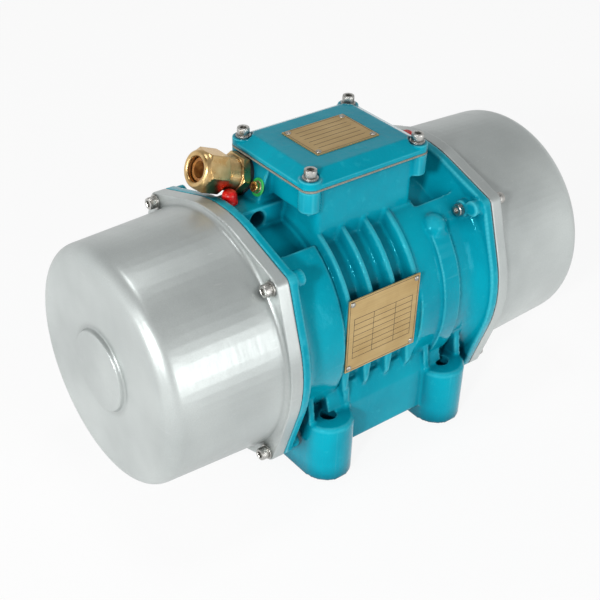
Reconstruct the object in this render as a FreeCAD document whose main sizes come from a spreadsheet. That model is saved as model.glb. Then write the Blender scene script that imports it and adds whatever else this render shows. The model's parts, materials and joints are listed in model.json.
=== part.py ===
"""Vibration motor: a foot-mounted motor whose shaft carries an eccentric weight at each end.

Millimetres, +Z up, X along the shaft. The origin is the centre of the four foot holes on the base plane.
"""
import FreeCAD, Part
import math
import os

import Sketcher

doc = FreeCAD.newDocument("vibration_motor")
sheet = doc.addObject("Spreadsheet::Sheet", "sizes")

SIZES = {
    # cast housing
    "axis_height": 108.0,           # shaft axis above the base
    "housing_half": 100.5,          # centre to the face a weight cover seats on
    "rim_thick": 8.0,               # end flange
    "flange_radius": 102.5,
    "screw_circle": 106.5,          # radius of the circle of the cover screws
    "lug_radius": 7.5,
    "lug_length": 16.0,
    "barrel_radius": 90.5,
    "flare_start": 78.0,            # where the barrel starts to widen to the flange
    "flare_radius": 98.5,
    "fin_radius": 94.5,
    "valley_radius": 85.0,
    "fin_pitch": 22.0,
    "fin_middle": -11.5,            # centre of the four fins
    "fin_tip": 3.4,
    "fin_root": 10.5,
    "window_margin": 6.0,           # from the outer fins to the barrel's full radius
    "relief_radius": 78.0,          # pocket beside the terminal box
    "stator_bore": 70.0,
    "spigot_radius": 74.0,
    "shield_seat": 91.0,            # counterbore for the bearing shield's flange
    "shield_depth": 9.0,
    # feet
    "foot_pitch_x": 120.0,
    "foot_pitch_y": 170.0,
    "foot_hole": 13.0,              # for M12
    "foot_radius": 20.5,
    "foot_top": 52.0,
    "foot_round": 2.5,
    "foot_depth": 46.0,             # from the hole's axis in under the barrel
    "skirt_bottom": 14.5,
    "skirt_thick": 10.0,
    "gusset_thick": 6.0,
    # terminal box
    "box_top": 229.5,
    "box_length": 96.0,
    "box_width": 90.0,
    "box_wall": 5.0,
    "box_floor": 193.5,
    "lid_pitch_x": 104.4,
    "lid_pitch_y": 82.8,
    "corner_radius": 8.5,
    "corner_drop": 18.0,
    "gasket_thick": 1.5,
    "lid_edge": 3.5,
    "lid_seat": 6.5,
    "lid_height": 10.0,
    "lid_slope": 12.0,
    "wire_hole": 12.0,
    # cable gland, M25
    "gland_x": -64.0,
    "gland_y": 28.0,
    "gland_z": 214.0,
    "gland_tilt": 22.0,
    "gland_thread": 25.0,
    "gland_flats": 30.0,
    "boss_front": 0.0,              # the gland boss, along Y
    "boss_back": 45.0,
    "boss_bottom": 200.0,
    # lifting webs
    "web_front": -7.0,
    "web_back": 27.0,
    "web_top": 203.0,
    "lift_hole": 13.0,
    "lift_x": 73.0,
    "lift_z": 193.5,
    "cheek": 3.5,                   # the left wall under the lid, past the lid screws
    "band_x": 58.0,                 # raised band on the right shoulder
    "band_width": 18.0,
    "band_radius": 93.5,
    "shoulder_boss": 23.0,
    "shoulder_reach": 97.5,
    "earth_side": 22.6,             # earth screw beside the gland, M5
    "earth_thread": 5.0,
    "earth_head": 8.5,
    "earth_length": 14.0,
    "earth_boss": 8.0,              # earth screw on the right flange
    "earth_y": 64.4,
    "earth_z": 70.6,
    "nipple_thread": 8.0,
    "port_x": 85.0,
    "port_left_y": 13.0,
    "port_right_y": 4.0,
    "port_boss": 6.0,               # under the right grease nipple
    "cap_radius": 6.4,
    "cap_height": 10.0,
    "earth_washer": 1.2,
    "board_length": 56.0,           # terminal board and its studs
    "board_width": 36.0,
    "board_thick": 8.0,
    "stud_pitch": 18.0,
    "stud_thread": 5.0,
    "gland_pack": 3.0,
    "gland_hex": 7.0,
    "gland_neck": 13.0,
    "gland_nut": 22.0,
    "gland_entry": 12.0,
    "gland_bore": 9.5,
    # weight covers
    "cover_flange": 10.8,
    "cover_length": 108.2,
    "cover_radius": 98.0,
    "cover_end_radius": 95.0,
    "cover_wall": 3.5,
    "cover_rounding": 12.0,
    "cover_root": 3.5,
    "end_boss_radius": 33.0,
    "end_boss_height": 3.5,
    "seal_radius": 97.0,
    "seal_wire": 3.0,
    # M6 socket head screws
    "screw_thread": 6.0,
    "screw_head": 10.0,
    "screw_socket": 5.0,
    "screw_length": 25.0,
    "washer_width": 12.0,
    "washer_thick": 1.6,
    # plates
    "plate_face": 86.0,             # flat cut on the fins, from the shaft axis
    "plate_length": 71.0,
    "plate_height": 66.0,
    "plate_rise": 11.5,             # plate centre above the shaft axis
    "plate_thick": 1.0,
    "plate_inset": 3.5,
    "lid_plate_length": 60.0,
    "lid_plate_width": 44.0,
    "rivet_head": 4.6,
    "rivet_shank": 2.0,
    "rivet_length": 5.0,
    # shaft and bearings
    "shaft_core": 24.0,
    "bearing_bore": 20.0,
    "bearing_outer": 45.0,
    "bearing_width": 23.0,
    "bearing_start": 67.0,
    "inner_race": 26.4,
    "outer_race": 38.6,
    "roller_length": 14.0,
    "journal_radius": 17.5,
    "shaft_end": 186.0,
    "hub_radius": 54.0,
    "labyrinth_radius": 34.0,
    "journal_start": 101.0,
    "cage_half": 9.5,
    "cage_thick": 4.6,
    "shield_seat_web": 3.7,         # metal under the shield screws' heads
    "shield_inner": 64.0,
    "shield_screw_circle": 83.0,
    # stator and rotor
    "stack_half": 38.0,
    "air_gap": 0.5,
    "rotor_radius": 42.0,
    "winding_reach": 56.0,
    "slot_width": 5.0,
    "slot_depth": 59.0,
    "end_ring_inner": 30.0,
    "end_ring_reach": 47.0,
    # eccentric weights
    "weight_radius": 86.0,
    "weight_hub": 31.0,
    "weight_thick": 34.0,
    "weight_start": 107.0,
    "weight_lean": 20.0,            # the sector's sides below the horizontal
    "clamp_rise": 24.5,
    "clamp_seat": 12.0,
    "clamp_thread": 8.0,
    "clamp_head": 13.0,
    "clamp_length": 28.0,
    "ring_groove": 16.3,
    "ring_outer": 22.0,
    "ring_thick": 2.5,
    "weight_gap": 2.0,
    "slit_width": 3.0,
    "key_width": 10.0,
    "key_rise": 3.0,
    # clearances
    "thread_gap": 0.05,
    "running_gap": 0.05,
    "seat_gap": 0.1,
    "bolt_gap": 0.3,
}


class Size:
    """A length that carries both its number and the sheet expression that gives it."""

    def __init__(self, number, text):
        self.number = float(number)
        self.text = text

    def __add__(self, other):
        other = size(other)
        return Size(self.number + other.number, f"({self.text} + {other.text})")

    def __sub__(self, other):
        other = size(other)
        return Size(self.number - other.number, f"({self.text} - {other.text})")

    def __mul__(self, other):
        other = size(other)
        return Size(self.number * other.number, f"({self.text} * {other.text})")

    def __truediv__(self, other):
        other = size(other)
        return Size(self.number / other.number, f"({self.text} / {other.text})")

    def __neg__(self):
        return Size(-self.number, f"(-1 * {self.text})")

    def __radd__(self, other):
        return size(other) + self

    def __rsub__(self, other):
        return size(other) - self

    def __rmul__(self, other):
        return size(other) * self


def size(value):
    return value if isinstance(value, Size) else Size(value, repr(float(value)))


def cosine(angle):
    angle = size(angle)
    return Size(math.cos(math.radians(angle.number)), f"cos({angle.text})")


def sine(angle):
    angle = size(angle)
    return Size(math.sin(math.radians(angle.number)), f"sin({angle.text})")


def arc_cosine(ratio):
    """The angle in degrees, as a plain number."""
    return Size(math.degrees(math.acos(ratio.number)), f"(acos({ratio.text}) / 1 deg)")


def root(value):
    return Size(math.sqrt(value.number), f"sqrt({value.text})")


class Sheet:
    """The sheet's cells as attributes: s.axis_height and so on."""


s = Sheet()
for row, (name, number) in enumerate(SIZES.items(), start=1):
    sheet.set(f"A{row}", name.replace("_", " "))
    sheet.set(f"B{row}", str(number))
    sheet.setAlias(f"B{row}", name)
    setattr(s, name, Size(number, f"sizes.{name}"))
doc.recompute()

ZERO = size(0)


def bind(thing, path, value):
    thing.setExpression(path, size(value).text)


def place(thing, x=0, y=0, z=0):
    """Bind the place of a sub-part."""
    for axis, value in (("x", x), ("y", y), ("z", z)):
        if size(value).number or isinstance(value, Size):
            bind(thing, f"Placement.Base.{axis}", value)


def make_body(label, x=0, y=0, z=0):
    made = doc.addObject("PartDesign::Body", label)
    made.Label = label
    place(made, x, y, z)
    return made


def make_sketch(body, plane, offset=0):
    """A sketch on one of the body's own origin planes, moved along its normal."""
    flat = next(f for f in body.Origin.OriginFeatures if f.Role == plane)
    drawn = body.newObject("Sketcher::SketchObject", body.Label + "_outline")
    drawn.AttachmentSupport = (flat, [""])
    drawn.MapMode = "FlatFace"
    if isinstance(offset, Size):
        bind(drawn, "AttachmentOffset.Base.z", offset)
    return drawn


def pin(drawn, geo, end, x, y):
    """Hold one sketch point at x, y from the origin."""
    for kind, value, axis in (("DistanceX", size(x), -2), ("DistanceY", size(y), -1)):
        if value.number == 0 and not isinstance((x if kind == "DistanceX" else y), Size):
            drawn.addConstraint(Sketcher.Constraint("PointOnObject", geo, end, axis))
        else:
            number = drawn.addConstraint(Sketcher.Constraint(kind, -1, 1, geo, end, value.number))
            bind(drawn, f"Constraints[{number}]", value)


def draw_outline(drawn, points):
    """A closed outline. A third entry in a point is the radius of the arc that leads to the next point:
    positive turns left of the chord, negative turns right."""
    vector = FreeCAD.Vector
    first = drawn.GeometryCount
    count = len(points)
    starts = []
    for i, point in enumerate(points):
        after = points[(i + 1) % count]
        a = vector(size(point[0]).number, size(point[1]).number, 0)
        b = vector(size(after[0]).number, size(after[1]).number, 0)
        if len(point) == 3:
            radius = abs(size(point[2]).number)
            side = 1 if size(point[2]).number > 0 else -1
            chord = b - a
            rise = math.sqrt(max(radius ** 2 - (chord.Length / 2) ** 2, 0))
            normal = vector(-chord.y, chord.x, 0).normalize()
            centre = (a + b) * 0.5 + normal * (rise * side)
            circle = Part.Circle(centre, vector(0, 0, 1), radius)
            begin = math.atan2(a.y - centre.y, a.x - centre.x)
            finish = math.atan2(b.y - centre.y, b.x - centre.x)
            if side > 0:
                geo = drawn.addGeometry(Part.ArcOfCircle(circle, begin, finish), False)
                starts.append((geo, 1, 2))
            else:
                geo = drawn.addGeometry(Part.ArcOfCircle(circle, finish, begin), False)
                starts.append((geo, 2, 1))
        else:
            geo = drawn.addGeometry(Part.LineSegment(a, b), False)
            starts.append((geo, 1, 2))
    for i in range(count):
        geo, _, end = starts[i]
        following, start, _ = starts[(i + 1) % count]
        drawn.addConstraint(Sketcher.Constraint("Coincident", geo, end, following, start))
    for i, point in enumerate(points):
        geo, start, _ = starts[i]
        pin(drawn, geo, start, point[0], point[1])
        if len(point) == 3:
            radius = size(point[2])
            radius = radius if radius.number > 0 else -radius
            number = drawn.addConstraint(Sketcher.Constraint("Radius", geo, radius.number))
            bind(drawn, f"Constraints[{number}]", radius)
    return first


def draw_circle(drawn, x, y, radius):
    radius = size(radius)
    middle = FreeCAD.Vector(size(x).number, size(y).number, 0)
    geo = drawn.addGeometry(Part.Circle(middle, FreeCAD.Vector(0, 0, 1), radius.number), False)
    pin(drawn, geo, 3, x, y)
    number = drawn.addConstraint(Sketcher.Constraint("Radius", geo, radius.number))
    bind(drawn, f"Constraints[{number}]", radius)


def draw_box(drawn, x0, x1, y0, y1):
    draw_outline(drawn, [(x0, y0), (x1, y0), (x1, y1), (x0, y1)])


def draw_rounded(drawn, half_x, half_y, radius):
    """A rectangle about the origin with round corners."""
    inner_x = half_x - radius
    inner_y = half_y - radius
    draw_outline(drawn, [
        (-inner_x, -half_y), (inner_x, -half_y, radius),
        (half_x, -inner_y), (half_x, inner_y, radius),
        (inner_x, half_y), (-inner_x, half_y, radius),
        (-half_x, inner_y), (-half_x, -inner_y, radius)])


def extrude(body, drawn, kind, length, back=False, middle=False, through=False):
    made = body.newObject("PartDesign::" + kind, body.Label + "_" + kind.lower())
    made.Profile = drawn
    if through:
        made.Type = "ThroughAll"
    else:
        bind(made, "Length", length)
    made.Reversed = back
    if middle:
        made.Midplane = True
    return made


def pad(body, drawn, length, **ways):
    return extrude(body, drawn, "Pad", length, **ways)


def pocket(body, drawn, length, **ways):
    return extrude(body, drawn, "Pocket", length, **ways)


def turn(body, drawn, kind="Revolution", angle=360.0, middle=False, axis="H_Axis"):
    made = body.newObject("PartDesign::" + kind, body.Label + "_" + kind.lower())
    made.Profile = drawn
    made.ReferenceAxis = (drawn, [axis])
    made.Angle = angle
    if middle:
        made.Midplane = True
    return made


def repeat(body, features, axis, count):
    """A polar pattern about one of the body's own axes."""
    line = next(f for f in body.Origin.OriginFeatures if f.Role == axis)
    made = body.newObject("PartDesign::PolarPattern", body.Label + "_pattern")
    made.Originals = features
    made.Axis = (line, [""])
    made.Angle = 360.0
    made.Occurrences = count
    body.Tip = made
    return made


def mirror_in(body, features, plane):
    """A mirror image of features in one of the body's own planes."""
    flat = next(f for f in body.Origin.OriginFeatures if f.Role == plane)
    made = body.newObject("PartDesign::Mirrored", body.Label + "_mirror")
    made.Originals = features
    made.MirrorPlane = (flat, [""])
    body.Tip = made
    return made


def round_edges(body, radius, wanted):
    """Fillet the edges of the body's last shape that the test picks."""
    doc.recompute()
    tip = body.Tip
    names = [f"Edge{i + 1}" for i, edge in enumerate(tip.Shape.Edges) if wanted(edge)]
    made = body.newObject("PartDesign::Fillet", body.Label + "_fillet")
    made.Base = (tip, names)
    bind(made, "Radius", radius)
    return made


def turned(label, points, x=0, y=0, z=0):
    """A piece turned on a lathe: its half section, (along X, radius), spun about the X axis."""
    body = make_body(label, x, y, z)
    drawn = make_sketch(body, "XZ_Plane")
    draw_outline(drawn, points)
    turn(body, drawn)
    return body


def mirrored(label, source, normal=(1, 0, 0), z=None):
    """The same piece on the other side, as its own sub-part."""
    made = doc.addObject("Part::Mirroring", label)
    made.Label = label
    made.Source = source
    made.Normal = FreeCAD.Vector(*normal)
    if z is not None:
        bind(made, "Base.z", z)
    return made


def grouped(label, members):
    made = doc.addObject("Part::Compound", label)
    made.Label = label
    made.Links = members
    return made


NODES = []


def keep(thing):
    """Mark a sub-part as a node to be written."""
    NODES.append(thing)
    return thing


# ------------------------------------------------------------------ motor housing
def tilt_sketch(drawn, angle, offset):
    """Turn a sketch about its own normal and move it along it."""
    turned_by = FreeCAD.Rotation(FreeCAD.Vector(0, 0, 1), angle)
    drawn.AttachmentOffset = FreeCAD.Placement(FreeCAD.Vector(0, 0, 0), turned_by)
    bind(drawn, "AttachmentOffset.Base.z", offset)


def add_lugs(body, start, length, back=False):
    """Four screw lugs around the shaft axis, each tangent to the flange's edge."""
    lean = arc_cosine((s.flange_radius - s.lug_radius) / s.screw_circle)
    drawn = make_sketch(body, "YZ_Plane")
    tilt_sketch(drawn, 45, start)
    edge_x = s.flange_radius * cosine(lean)
    edge_y = s.flange_radius * sine(lean)
    tip_x = s.screw_circle + s.lug_radius * cosine(lean)
    tip_y = s.lug_radius * sine(lean)
    draw_outline(drawn, [
        (edge_x, -edge_y), (tip_x, -tip_y, s.lug_radius), (tip_x, tip_y), (edge_x, edge_y)])
    lug = pad(body, drawn, length, back=back)
    repeat(body, [lug], "X_Axis", 4)


def ring_of_holes(body, start, circle, radius, depth, back=False, first=45):
    """Four holes round the shaft axis."""
    drawn = make_sketch(body, "YZ_Plane")
    tilt_sketch(drawn, first, start)
    for across, up in ((1, 0), (0, 1), (-1, 0), (0, -1)):
        draw_circle(drawn, across * circle if across else 0, up * circle if up else 0, radius)
    return pocket(body, drawn, depth, back=back)


def corner_circles(drawn, pitch_x, pitch_y, radius):
    for side in (-1, 1):
        for front in (-1, 1):
            draw_circle(drawn, side * pitch_x / 2, front * pitch_y / 2, radius)


def local(height):
    """A height above the base, measured from the shaft axis."""
    return height - s.axis_height


rim_face = s.housing_half - s.rim_thick
fin_places = [s.fin_middle + s.fin_pitch * step for step in (-1.5, -0.5, 0.5, 1.5)]
window_left = fin_places[0] - s.window_margin
window_right = fin_places[3] + s.window_margin
thread_radius = s.screw_thread / 2 + s.thread_gap
gland_height = local(s.gland_z)
gland_slope = sine(s.gland_tilt) / cosine(s.gland_tilt)

housing = keep(make_body("motor_housing", z=s.axis_height))

# the casting's turned form: flanges, flares, barrel and the finned window
flare_run = rim_face - s.flare_start
flare_rise = s.flare_radius - s.barrel_radius
flare_arc = (flare_run * flare_run + flare_rise * flare_rise) / (flare_rise * 2)
profile = [(-s.housing_half, 0), (-s.housing_half, s.flange_radius), (-rim_face, s.flange_radius),
           (-rim_face, s.flare_radius, flare_arc), (-s.flare_start, s.barrel_radius),
           (window_left, s.barrel_radius), (window_left, s.valley_radius)]
for fin in fin_places:
    profile += [(fin - s.fin_root / 2, s.valley_radius), (fin - s.fin_tip / 2, s.fin_radius),
                (fin + s.fin_tip / 2, s.fin_radius), (fin + s.fin_root / 2, s.valley_radius)]
profile[-1] = (window_right, s.barrel_radius)
profile += [(s.flare_start, s.barrel_radius, flare_arc), (rim_face, s.flare_radius),
            (rim_face, s.flange_radius), (s.housing_half, s.flange_radius), (s.housing_half, 0)]
drawn = make_sketch(housing, "XZ_Plane")
draw_outline(drawn, profile)
turn(housing, drawn)

# pockets beside the terminal box, where the barrel is waisted
for side in (-1, 1):
    drawn = make_sketch(housing, "XZ_Plane")
    beside_box = side * (s.box_length / 2 + 2)
    outline = [(beside_box, s.relief_radius), (side * (s.flare_start + 2), s.relief_radius),
               (side * rim_face, s.flare_radius), (side * rim_face, s.flange_radius + 10),
               (beside_box, s.flange_radius + 10)]
    draw_outline(drawn, outline if side > 0 else outline[::-1])
    turn(housing, drawn, "Groove", angle=64.0, middle=True)

# screw lugs on both flanges
add_lugs(housing, rim_face, s.rim_thick)
add_lugs(housing, -s.housing_half, s.rim_thick)
for side in (-1, 1):
    drawn = make_sketch(housing, "YZ_Plane")
    tilt_sketch(drawn, 45, side * (s.housing_half - s.lug_length))
    for across, up in ((1, 0), (0, 1), (-1, 0), (0, -1)):
        draw_circle(drawn, across * s.screw_circle if across else 0, up * s.screw_circle if up else 0,
                    s.lug_radius - 1)
    pad(housing, drawn, s.lug_length - s.rim_thick / 2, back=side < 0)

# round boss and the raised band below it on the right shoulder
drawn = make_sketch(housing, "XY_Plane")
draw_box(drawn, s.band_x - s.band_width / 2, s.band_x + s.band_width / 2,
         -s.band_radius, -s.valley_radius)
turn(housing, drawn, angle=90.0, middle=True)
boss = housing.newObject("PartDesign::AdditiveCylinder", "shoulder_boss")
bind(boss, "Radius", s.shoulder_boss / 2)
bind(boss, "Height", s.shoulder_reach)
boss.Placement.Rotation = FreeCAD.Rotation(FreeCAD.Vector(1, 0, 0), 45)
bind(boss, "Placement.Base.x", s.band_x)

# boss for the earth screw behind the right flange
boss = housing.newObject("PartDesign::AdditiveCylinder", "earth_boss")
bind(boss, "Radius", s.earth_boss - 1)
bind(boss, "Height", s.earth_boss + 1)
boss.Placement.Rotation = FreeCAD.Rotation(FreeCAD.Vector(0, 1, 0), 90)
bind(boss, "Placement.Base.x", rim_face - s.earth_boss)
bind(boss, "Placement.Base.y", -s.earth_y)
bind(boss, "Placement.Base.z", s.earth_z)

# terminal box: neck, corner bosses and the thicker left wall under the lid
box_top = local(s.box_top)
drawn = make_sketch(housing, "XY_Plane", box_top)
draw_rounded(drawn, s.box_length / 2, s.box_width / 2, s.box_wall)
pad(housing, drawn, box_top - s.stator_bore + s.corner_radius, back=True)
drawn = make_sketch(housing, "XY_Plane", box_top)
corner_circles(drawn, s.lid_pitch_x, s.lid_pitch_y, s.corner_radius)
pad(housing, drawn, s.corner_drop, back=True)
drawn = make_sketch(housing, "XY_Plane", box_top)
draw_box(drawn, -s.lid_pitch_x / 2 - s.cheek, -s.box_length / 2 + s.box_wall,
         -s.box_width / 2, s.box_width / 2)
pad(housing, drawn, s.corner_drop + s.cheek, back=True)

# gland boss with its tilted face
boss_bottom = local(s.boss_bottom)
drawn = make_sketch(housing, "XZ_Plane", -s.boss_front)
draw_outline(drawn, [
    (s.gland_x + (boss_bottom - gland_height) * gland_slope, boss_bottom),
    (-s.box_length / 2 + s.box_wall, boss_bottom),
    (-s.box_length / 2 + s.box_wall, box_top),
    (s.gland_x + (box_top - gland_height) * gland_slope, box_top)])
pad(housing, drawn, s.boss_back - s.boss_front, back=True)

# lifting webs between the flanges and the box
web_top = local(s.web_top)
for side in (-1, 1):
    drawn = make_sketch(housing, "XY_Plane", web_top)
    edges = sorted((side * (s.box_length / 2 - s.box_wall), side * rim_face),
                   key=lambda edge: edge.number)
    draw_box(drawn, edges[0], edges[1], s.web_front, s.web_back)
    pad(housing, drawn, web_top - s.stator_bore, back=True)

# feet, their gussets and the skirts between them
foot_edge = s.foot_top - s.foot_round
drawn = make_sketch(housing, "XY_Plane", local(foot_edge))
corner_circles(drawn, s.foot_pitch_x, s.foot_pitch_y, s.foot_radius)
pad(housing, drawn, foot_edge, back=True)
drawn = make_sketch(housing, "XY_Plane", local(foot_edge))
corner_circles(drawn, s.foot_pitch_x, s.foot_pitch_y, s.foot_radius)
foot_crown = pad(housing, drawn, s.foot_round)
foot_crown.TaperAngle = -40
half_x = s.foot_pitch_x / 2
half_y = s.foot_pitch_y / 2
drawn = make_sketch(housing, "XY_Plane", local(s.foot_top))
for side in (-1, 1):
    inner = side * half_x - s.foot_radius
    outer = side * half_x + s.foot_radius
    draw_box(drawn, inner, outer, -half_y, s.foot_depth - half_y)
    draw_box(drawn, inner, outer, half_y - s.foot_depth, half_y)
pad(housing, drawn, s.foot_top, back=True)
skirt_foot = local(s.skirt_bottom)
skirt_face = half_y + 2
drawn = make_sketch(housing, "YZ_Plane")
for side in (-1, 1):
    draw_outline(drawn, [
        (side * skirt_face, skirt_foot), (side * (skirt_face - s.skirt_thick), skirt_foot),
        (side * (skirt_face - s.skirt_thick * 2.5), local(s.foot_top)),
        (side * (skirt_face - s.skirt_thick * 2.5), skirt_foot * 0.4),
        (side * (s.valley_radius - s.skirt_thick / 2), skirt_foot * 0.4),
        (side * (skirt_face - 1), local(s.foot_top))])
pad(housing, drawn, s.foot_pitch_x, middle=True)
for side in (-1, 1):
    for edge in (-1, 1):
        gusset_x = side * half_x + edge * (s.foot_radius - s.gusset_thick / 2)
        drawn = make_sketch(housing, "YZ_Plane", gusset_x)
        for front in (-1, 1):
            draw_outline(drawn, [
                (front * (half_y + s.gusset_thick / 2), local(s.foot_top) - 1),
                (front * (half_y - s.foot_radius), local(s.foot_top) - 1),
                (front * (half_y - s.foot_radius), local(s.foot_top) * 0.35),
                (front * (half_y - s.gusset_thick / 2), local(s.foot_top) * 0.35)])
        pad(housing, drawn, s.gusset_thick, middle=True)

# flat seat for the name plate across the fins
drawn = make_sketch(housing, "XZ_Plane", s.plate_face)
draw_box(drawn, window_left, window_right,
         s.plate_rise - s.plate_height, s.plate_rise + s.plate_height)
pocket(housing, drawn, s.foot_radius, back=True)

# inside: stator bore, spigots and counterbores for the shields, O-ring grooves
seat_face = s.housing_half - s.shield_depth
bore_step = s.shield_inner - 2
drawn = make_sketch(housing, "XZ_Plane")
draw_outline(drawn, [
    (-s.housing_half - 1, 0), (s.housing_half + 1, 0), (s.housing_half + 1, s.shield_seat),
    (seat_face, s.shield_seat), (seat_face, s.spigot_radius), (bore_step, s.spigot_radius),
    (bore_step, s.stator_bore), (-bore_step, s.stator_bore), (-bore_step, s.spigot_radius),
    (-seat_face, s.spigot_radius), (-seat_face, s.shield_seat),
    (-s.housing_half - 1, s.shield_seat)])
turn(housing, drawn, "Groove")
for side in (-1, 1):
    drawn = make_sketch(housing, "XZ_Plane")
    edges = sorted((side * (s.housing_half - s.seal_wire), side * s.housing_half),
                   key=lambda edge: edge.number)
    draw_box(drawn, edges[0], edges[1], s.seal_radius - s.seal_wire * 0.6,
             s.seal_radius + s.seal_wire * 0.6)
    turn(housing, drawn, "Groove")

# holes for the cover screws, the shield screws, the lid screws and the feet
hole_depth = s.lug_length - 2
shield_hole = s.screw_length - s.shield_seat_web + 2
ring_of_holes(housing, s.housing_half, s.screw_circle, thread_radius, hole_depth)
ring_of_holes(housing, -s.housing_half, s.screw_circle, thread_radius, hole_depth, back=True)
ring_of_holes(housing, seat_face, s.shield_screw_circle, thread_radius, shield_hole)
ring_of_holes(housing, -seat_face, s.shield_screw_circle, thread_radius, shield_hole, back=True)
drawn = make_sketch(housing, "XY_Plane", box_top)
corner_circles(drawn, s.lid_pitch_x, s.lid_pitch_y, thread_radius)
pocket(housing, drawn, s.corner_drop - 2)
drawn = make_sketch(housing, "XY_Plane", local(s.foot_top))
corner_circles(drawn, s.foot_pitch_x, s.foot_pitch_y, s.foot_hole / 2)
pocket(housing, drawn, s.foot_top)

# terminal chamber, wire passage, gland hole, grease ports and lifting holes
drawn = make_sketch(housing, "XY_Plane", box_top)
draw_rounded(drawn, s.box_length / 2 - s.box_wall, s.box_width / 2 - s.box_wall, s.box_wall)
pocket(housing, drawn, s.box_top - s.box_floor)
drawn = make_sketch(housing, "XY_Plane", local(s.box_floor))
draw_circle(drawn, s.stack_half, 0, s.wire_hole / 2)
pocket(housing, drawn, s.box_floor - s.axis_height - s.stator_bore + 10)


def tilted(thing, along, sideways, rise=0):
    """Place a drill or a turned piece on the gland boss: along its face's normal, then to the side."""
    bind(thing, "Placement.Base.x", s.gland_x - along * cosine(s.gland_tilt) + rise * sine(s.gland_tilt))
    bind(thing, "Placement.Base.y", s.gland_y + sideways)
    bind(thing, "Placement.Base.z", gland_height + along * sine(s.gland_tilt) + rise * cosine(s.gland_tilt))


def drill(body, radius, depth, angle, axis=(0, 1, 0)):
    tool = body.newObject("PartDesign::SubtractiveCylinder", body.Label + "_drill")
    bind(tool, "Radius", radius)
    bind(tool, "Height", depth)
    tool.Placement.Rotation = FreeCAD.Rotation(FreeCAD.Vector(*axis), 0)
    bind(tool, "Placement.Rotation.Angle", angle)
    return tool


tool = drill(housing, s.gland_thread / 2 + s.thread_gap, s.gland_thread + s.box_wall, 90 + s.gland_tilt)
tilted(tool, size(2), 0)
tool = drill(housing, s.earth_thread / 2 + s.thread_gap, s.earth_length, 90 + s.gland_tilt)
tilted(tool, ZERO, -s.earth_side, -1)
tool = drill(housing, s.gland_flats / 2 + 1.5, s.corner_radius, 90 + s.gland_tilt)
tilted(tool, s.corner_radius, 0)
for radius, start, depth in ((thread_radius, rim_face - s.earth_boss, s.earth_length - 2),
                             (s.screw_head / 2 + 0.6, rim_face - s.earth_boss - s.lug_radius, s.lug_radius)):
    tool = drill(housing, radius, depth, size(90))
    bind(tool, "Placement.Base.x", start)
    bind(tool, "Placement.Base.y", -s.earth_y)
    bind(tool, "Placement.Base.z", s.earth_z)
for side in (-1, 1):
    port_y = s.port_right_y if side > 0 else s.port_left_y
    port_top = web_top + s.port_boss if side > 0 else web_top
    if side > 0:
        drawn = make_sketch(housing, "XY_Plane", port_top)
        draw_circle(drawn, s.port_x, port_y, s.cap_radius + 1)
        pad(housing, drawn, s.port_boss + s.cheek, back=True)
    drawn = make_sketch(housing, "XY_Plane", port_top + s.corner_radius)
    draw_circle(drawn, side * s.port_x, port_y, s.cap_radius + s.thread_gap + 0.6)
    pocket(housing, drawn, s.corner_radius)
    drawn = make_sketch(housing, "XY_Plane", port_top)
    draw_circle(drawn, side * s.port_x, port_y, s.nipple_thread / 2 + s.thread_gap)
    pocket(housing, drawn, port_top - s.spigot_radius + s.foot_radius)
    drawn = make_sketch(housing, "XZ_Plane", -s.web_front)
    draw_circle(drawn, side * s.lift_x, local(s.lift_z), s.lift_hole / 2)
    pocket(housing, drawn, s.web_back - s.web_front + 1)


# ------------------------------------------------------------------ screws, washers and rings
def hexagon(drawn, flats):
    """A hexagon about the sketch's origin, by its width across flats."""
    corner = flats / 2 / cosine(30)
    draw_outline(drawn, [(corner * cosine(60 * step) if step % 3 else corner * (1 if step == 0 else -1),
                          corner * sine(60 * step) if step % 3 else 0) for step in range(6)])


def socket_screw(label, thread, head, head_height, socket, length):
    """A socket head screw along X: the head's underside at 0, the head towards +X."""
    edge = head * 0.06
    body = turned(label, [
        (-length, 0), (-length, thread / 2 - edge), (-length + edge, thread / 2), (0, thread / 2),
        (0, head / 2), (head_height - edge, head / 2), (head_height, head / 2 - edge),
        (head_height, 0)])
    drawn = make_sketch(body, "YZ_Plane", head_height)
    hexagon(drawn, socket)
    pocket(body, drawn, head_height / 2)
    return body


def washer(label, width, hole, thick):
    return turned(label, [(0, hole / 2), (0, width / 2), (thick, width / 2), (thick, hole / 2)])


def stand(body, angle=-90.0):
    """Turn a piece made along X to point along Z."""
    body.Placement = FreeCAD.Placement(
        FreeCAD.Vector(0, 0, 0), FreeCAD.Rotation(FreeCAD.Vector(0, 1, 0), angle))


def four(label, first, sides, height=None):
    """The first piece and its three mirror images, as one group of separate solids."""
    members = [first]
    for normal in sides:
        rise = height if normal[2] else None
        members += [mirrored(f"{label}_copy", member, normal, rise) for member in members]
    return keep(grouped(label, members))


ACROSS = [(0, 1, 0), (0, 0, 1)]
AROUND = [(1, 0, 0), (0, 1, 0)]
screw_offset = s.screw_circle * sine(45)
shield_offset = s.shield_screw_circle * sine(45)
cover_face = s.housing_half + s.cover_flange


def both_sides(label, piece):
    """Keep a piece of the right-hand end and its mirror image on the left."""
    piece.Label = label + "_right"
    keep(piece)
    keep(mirrored(label + "_left", piece))


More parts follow.
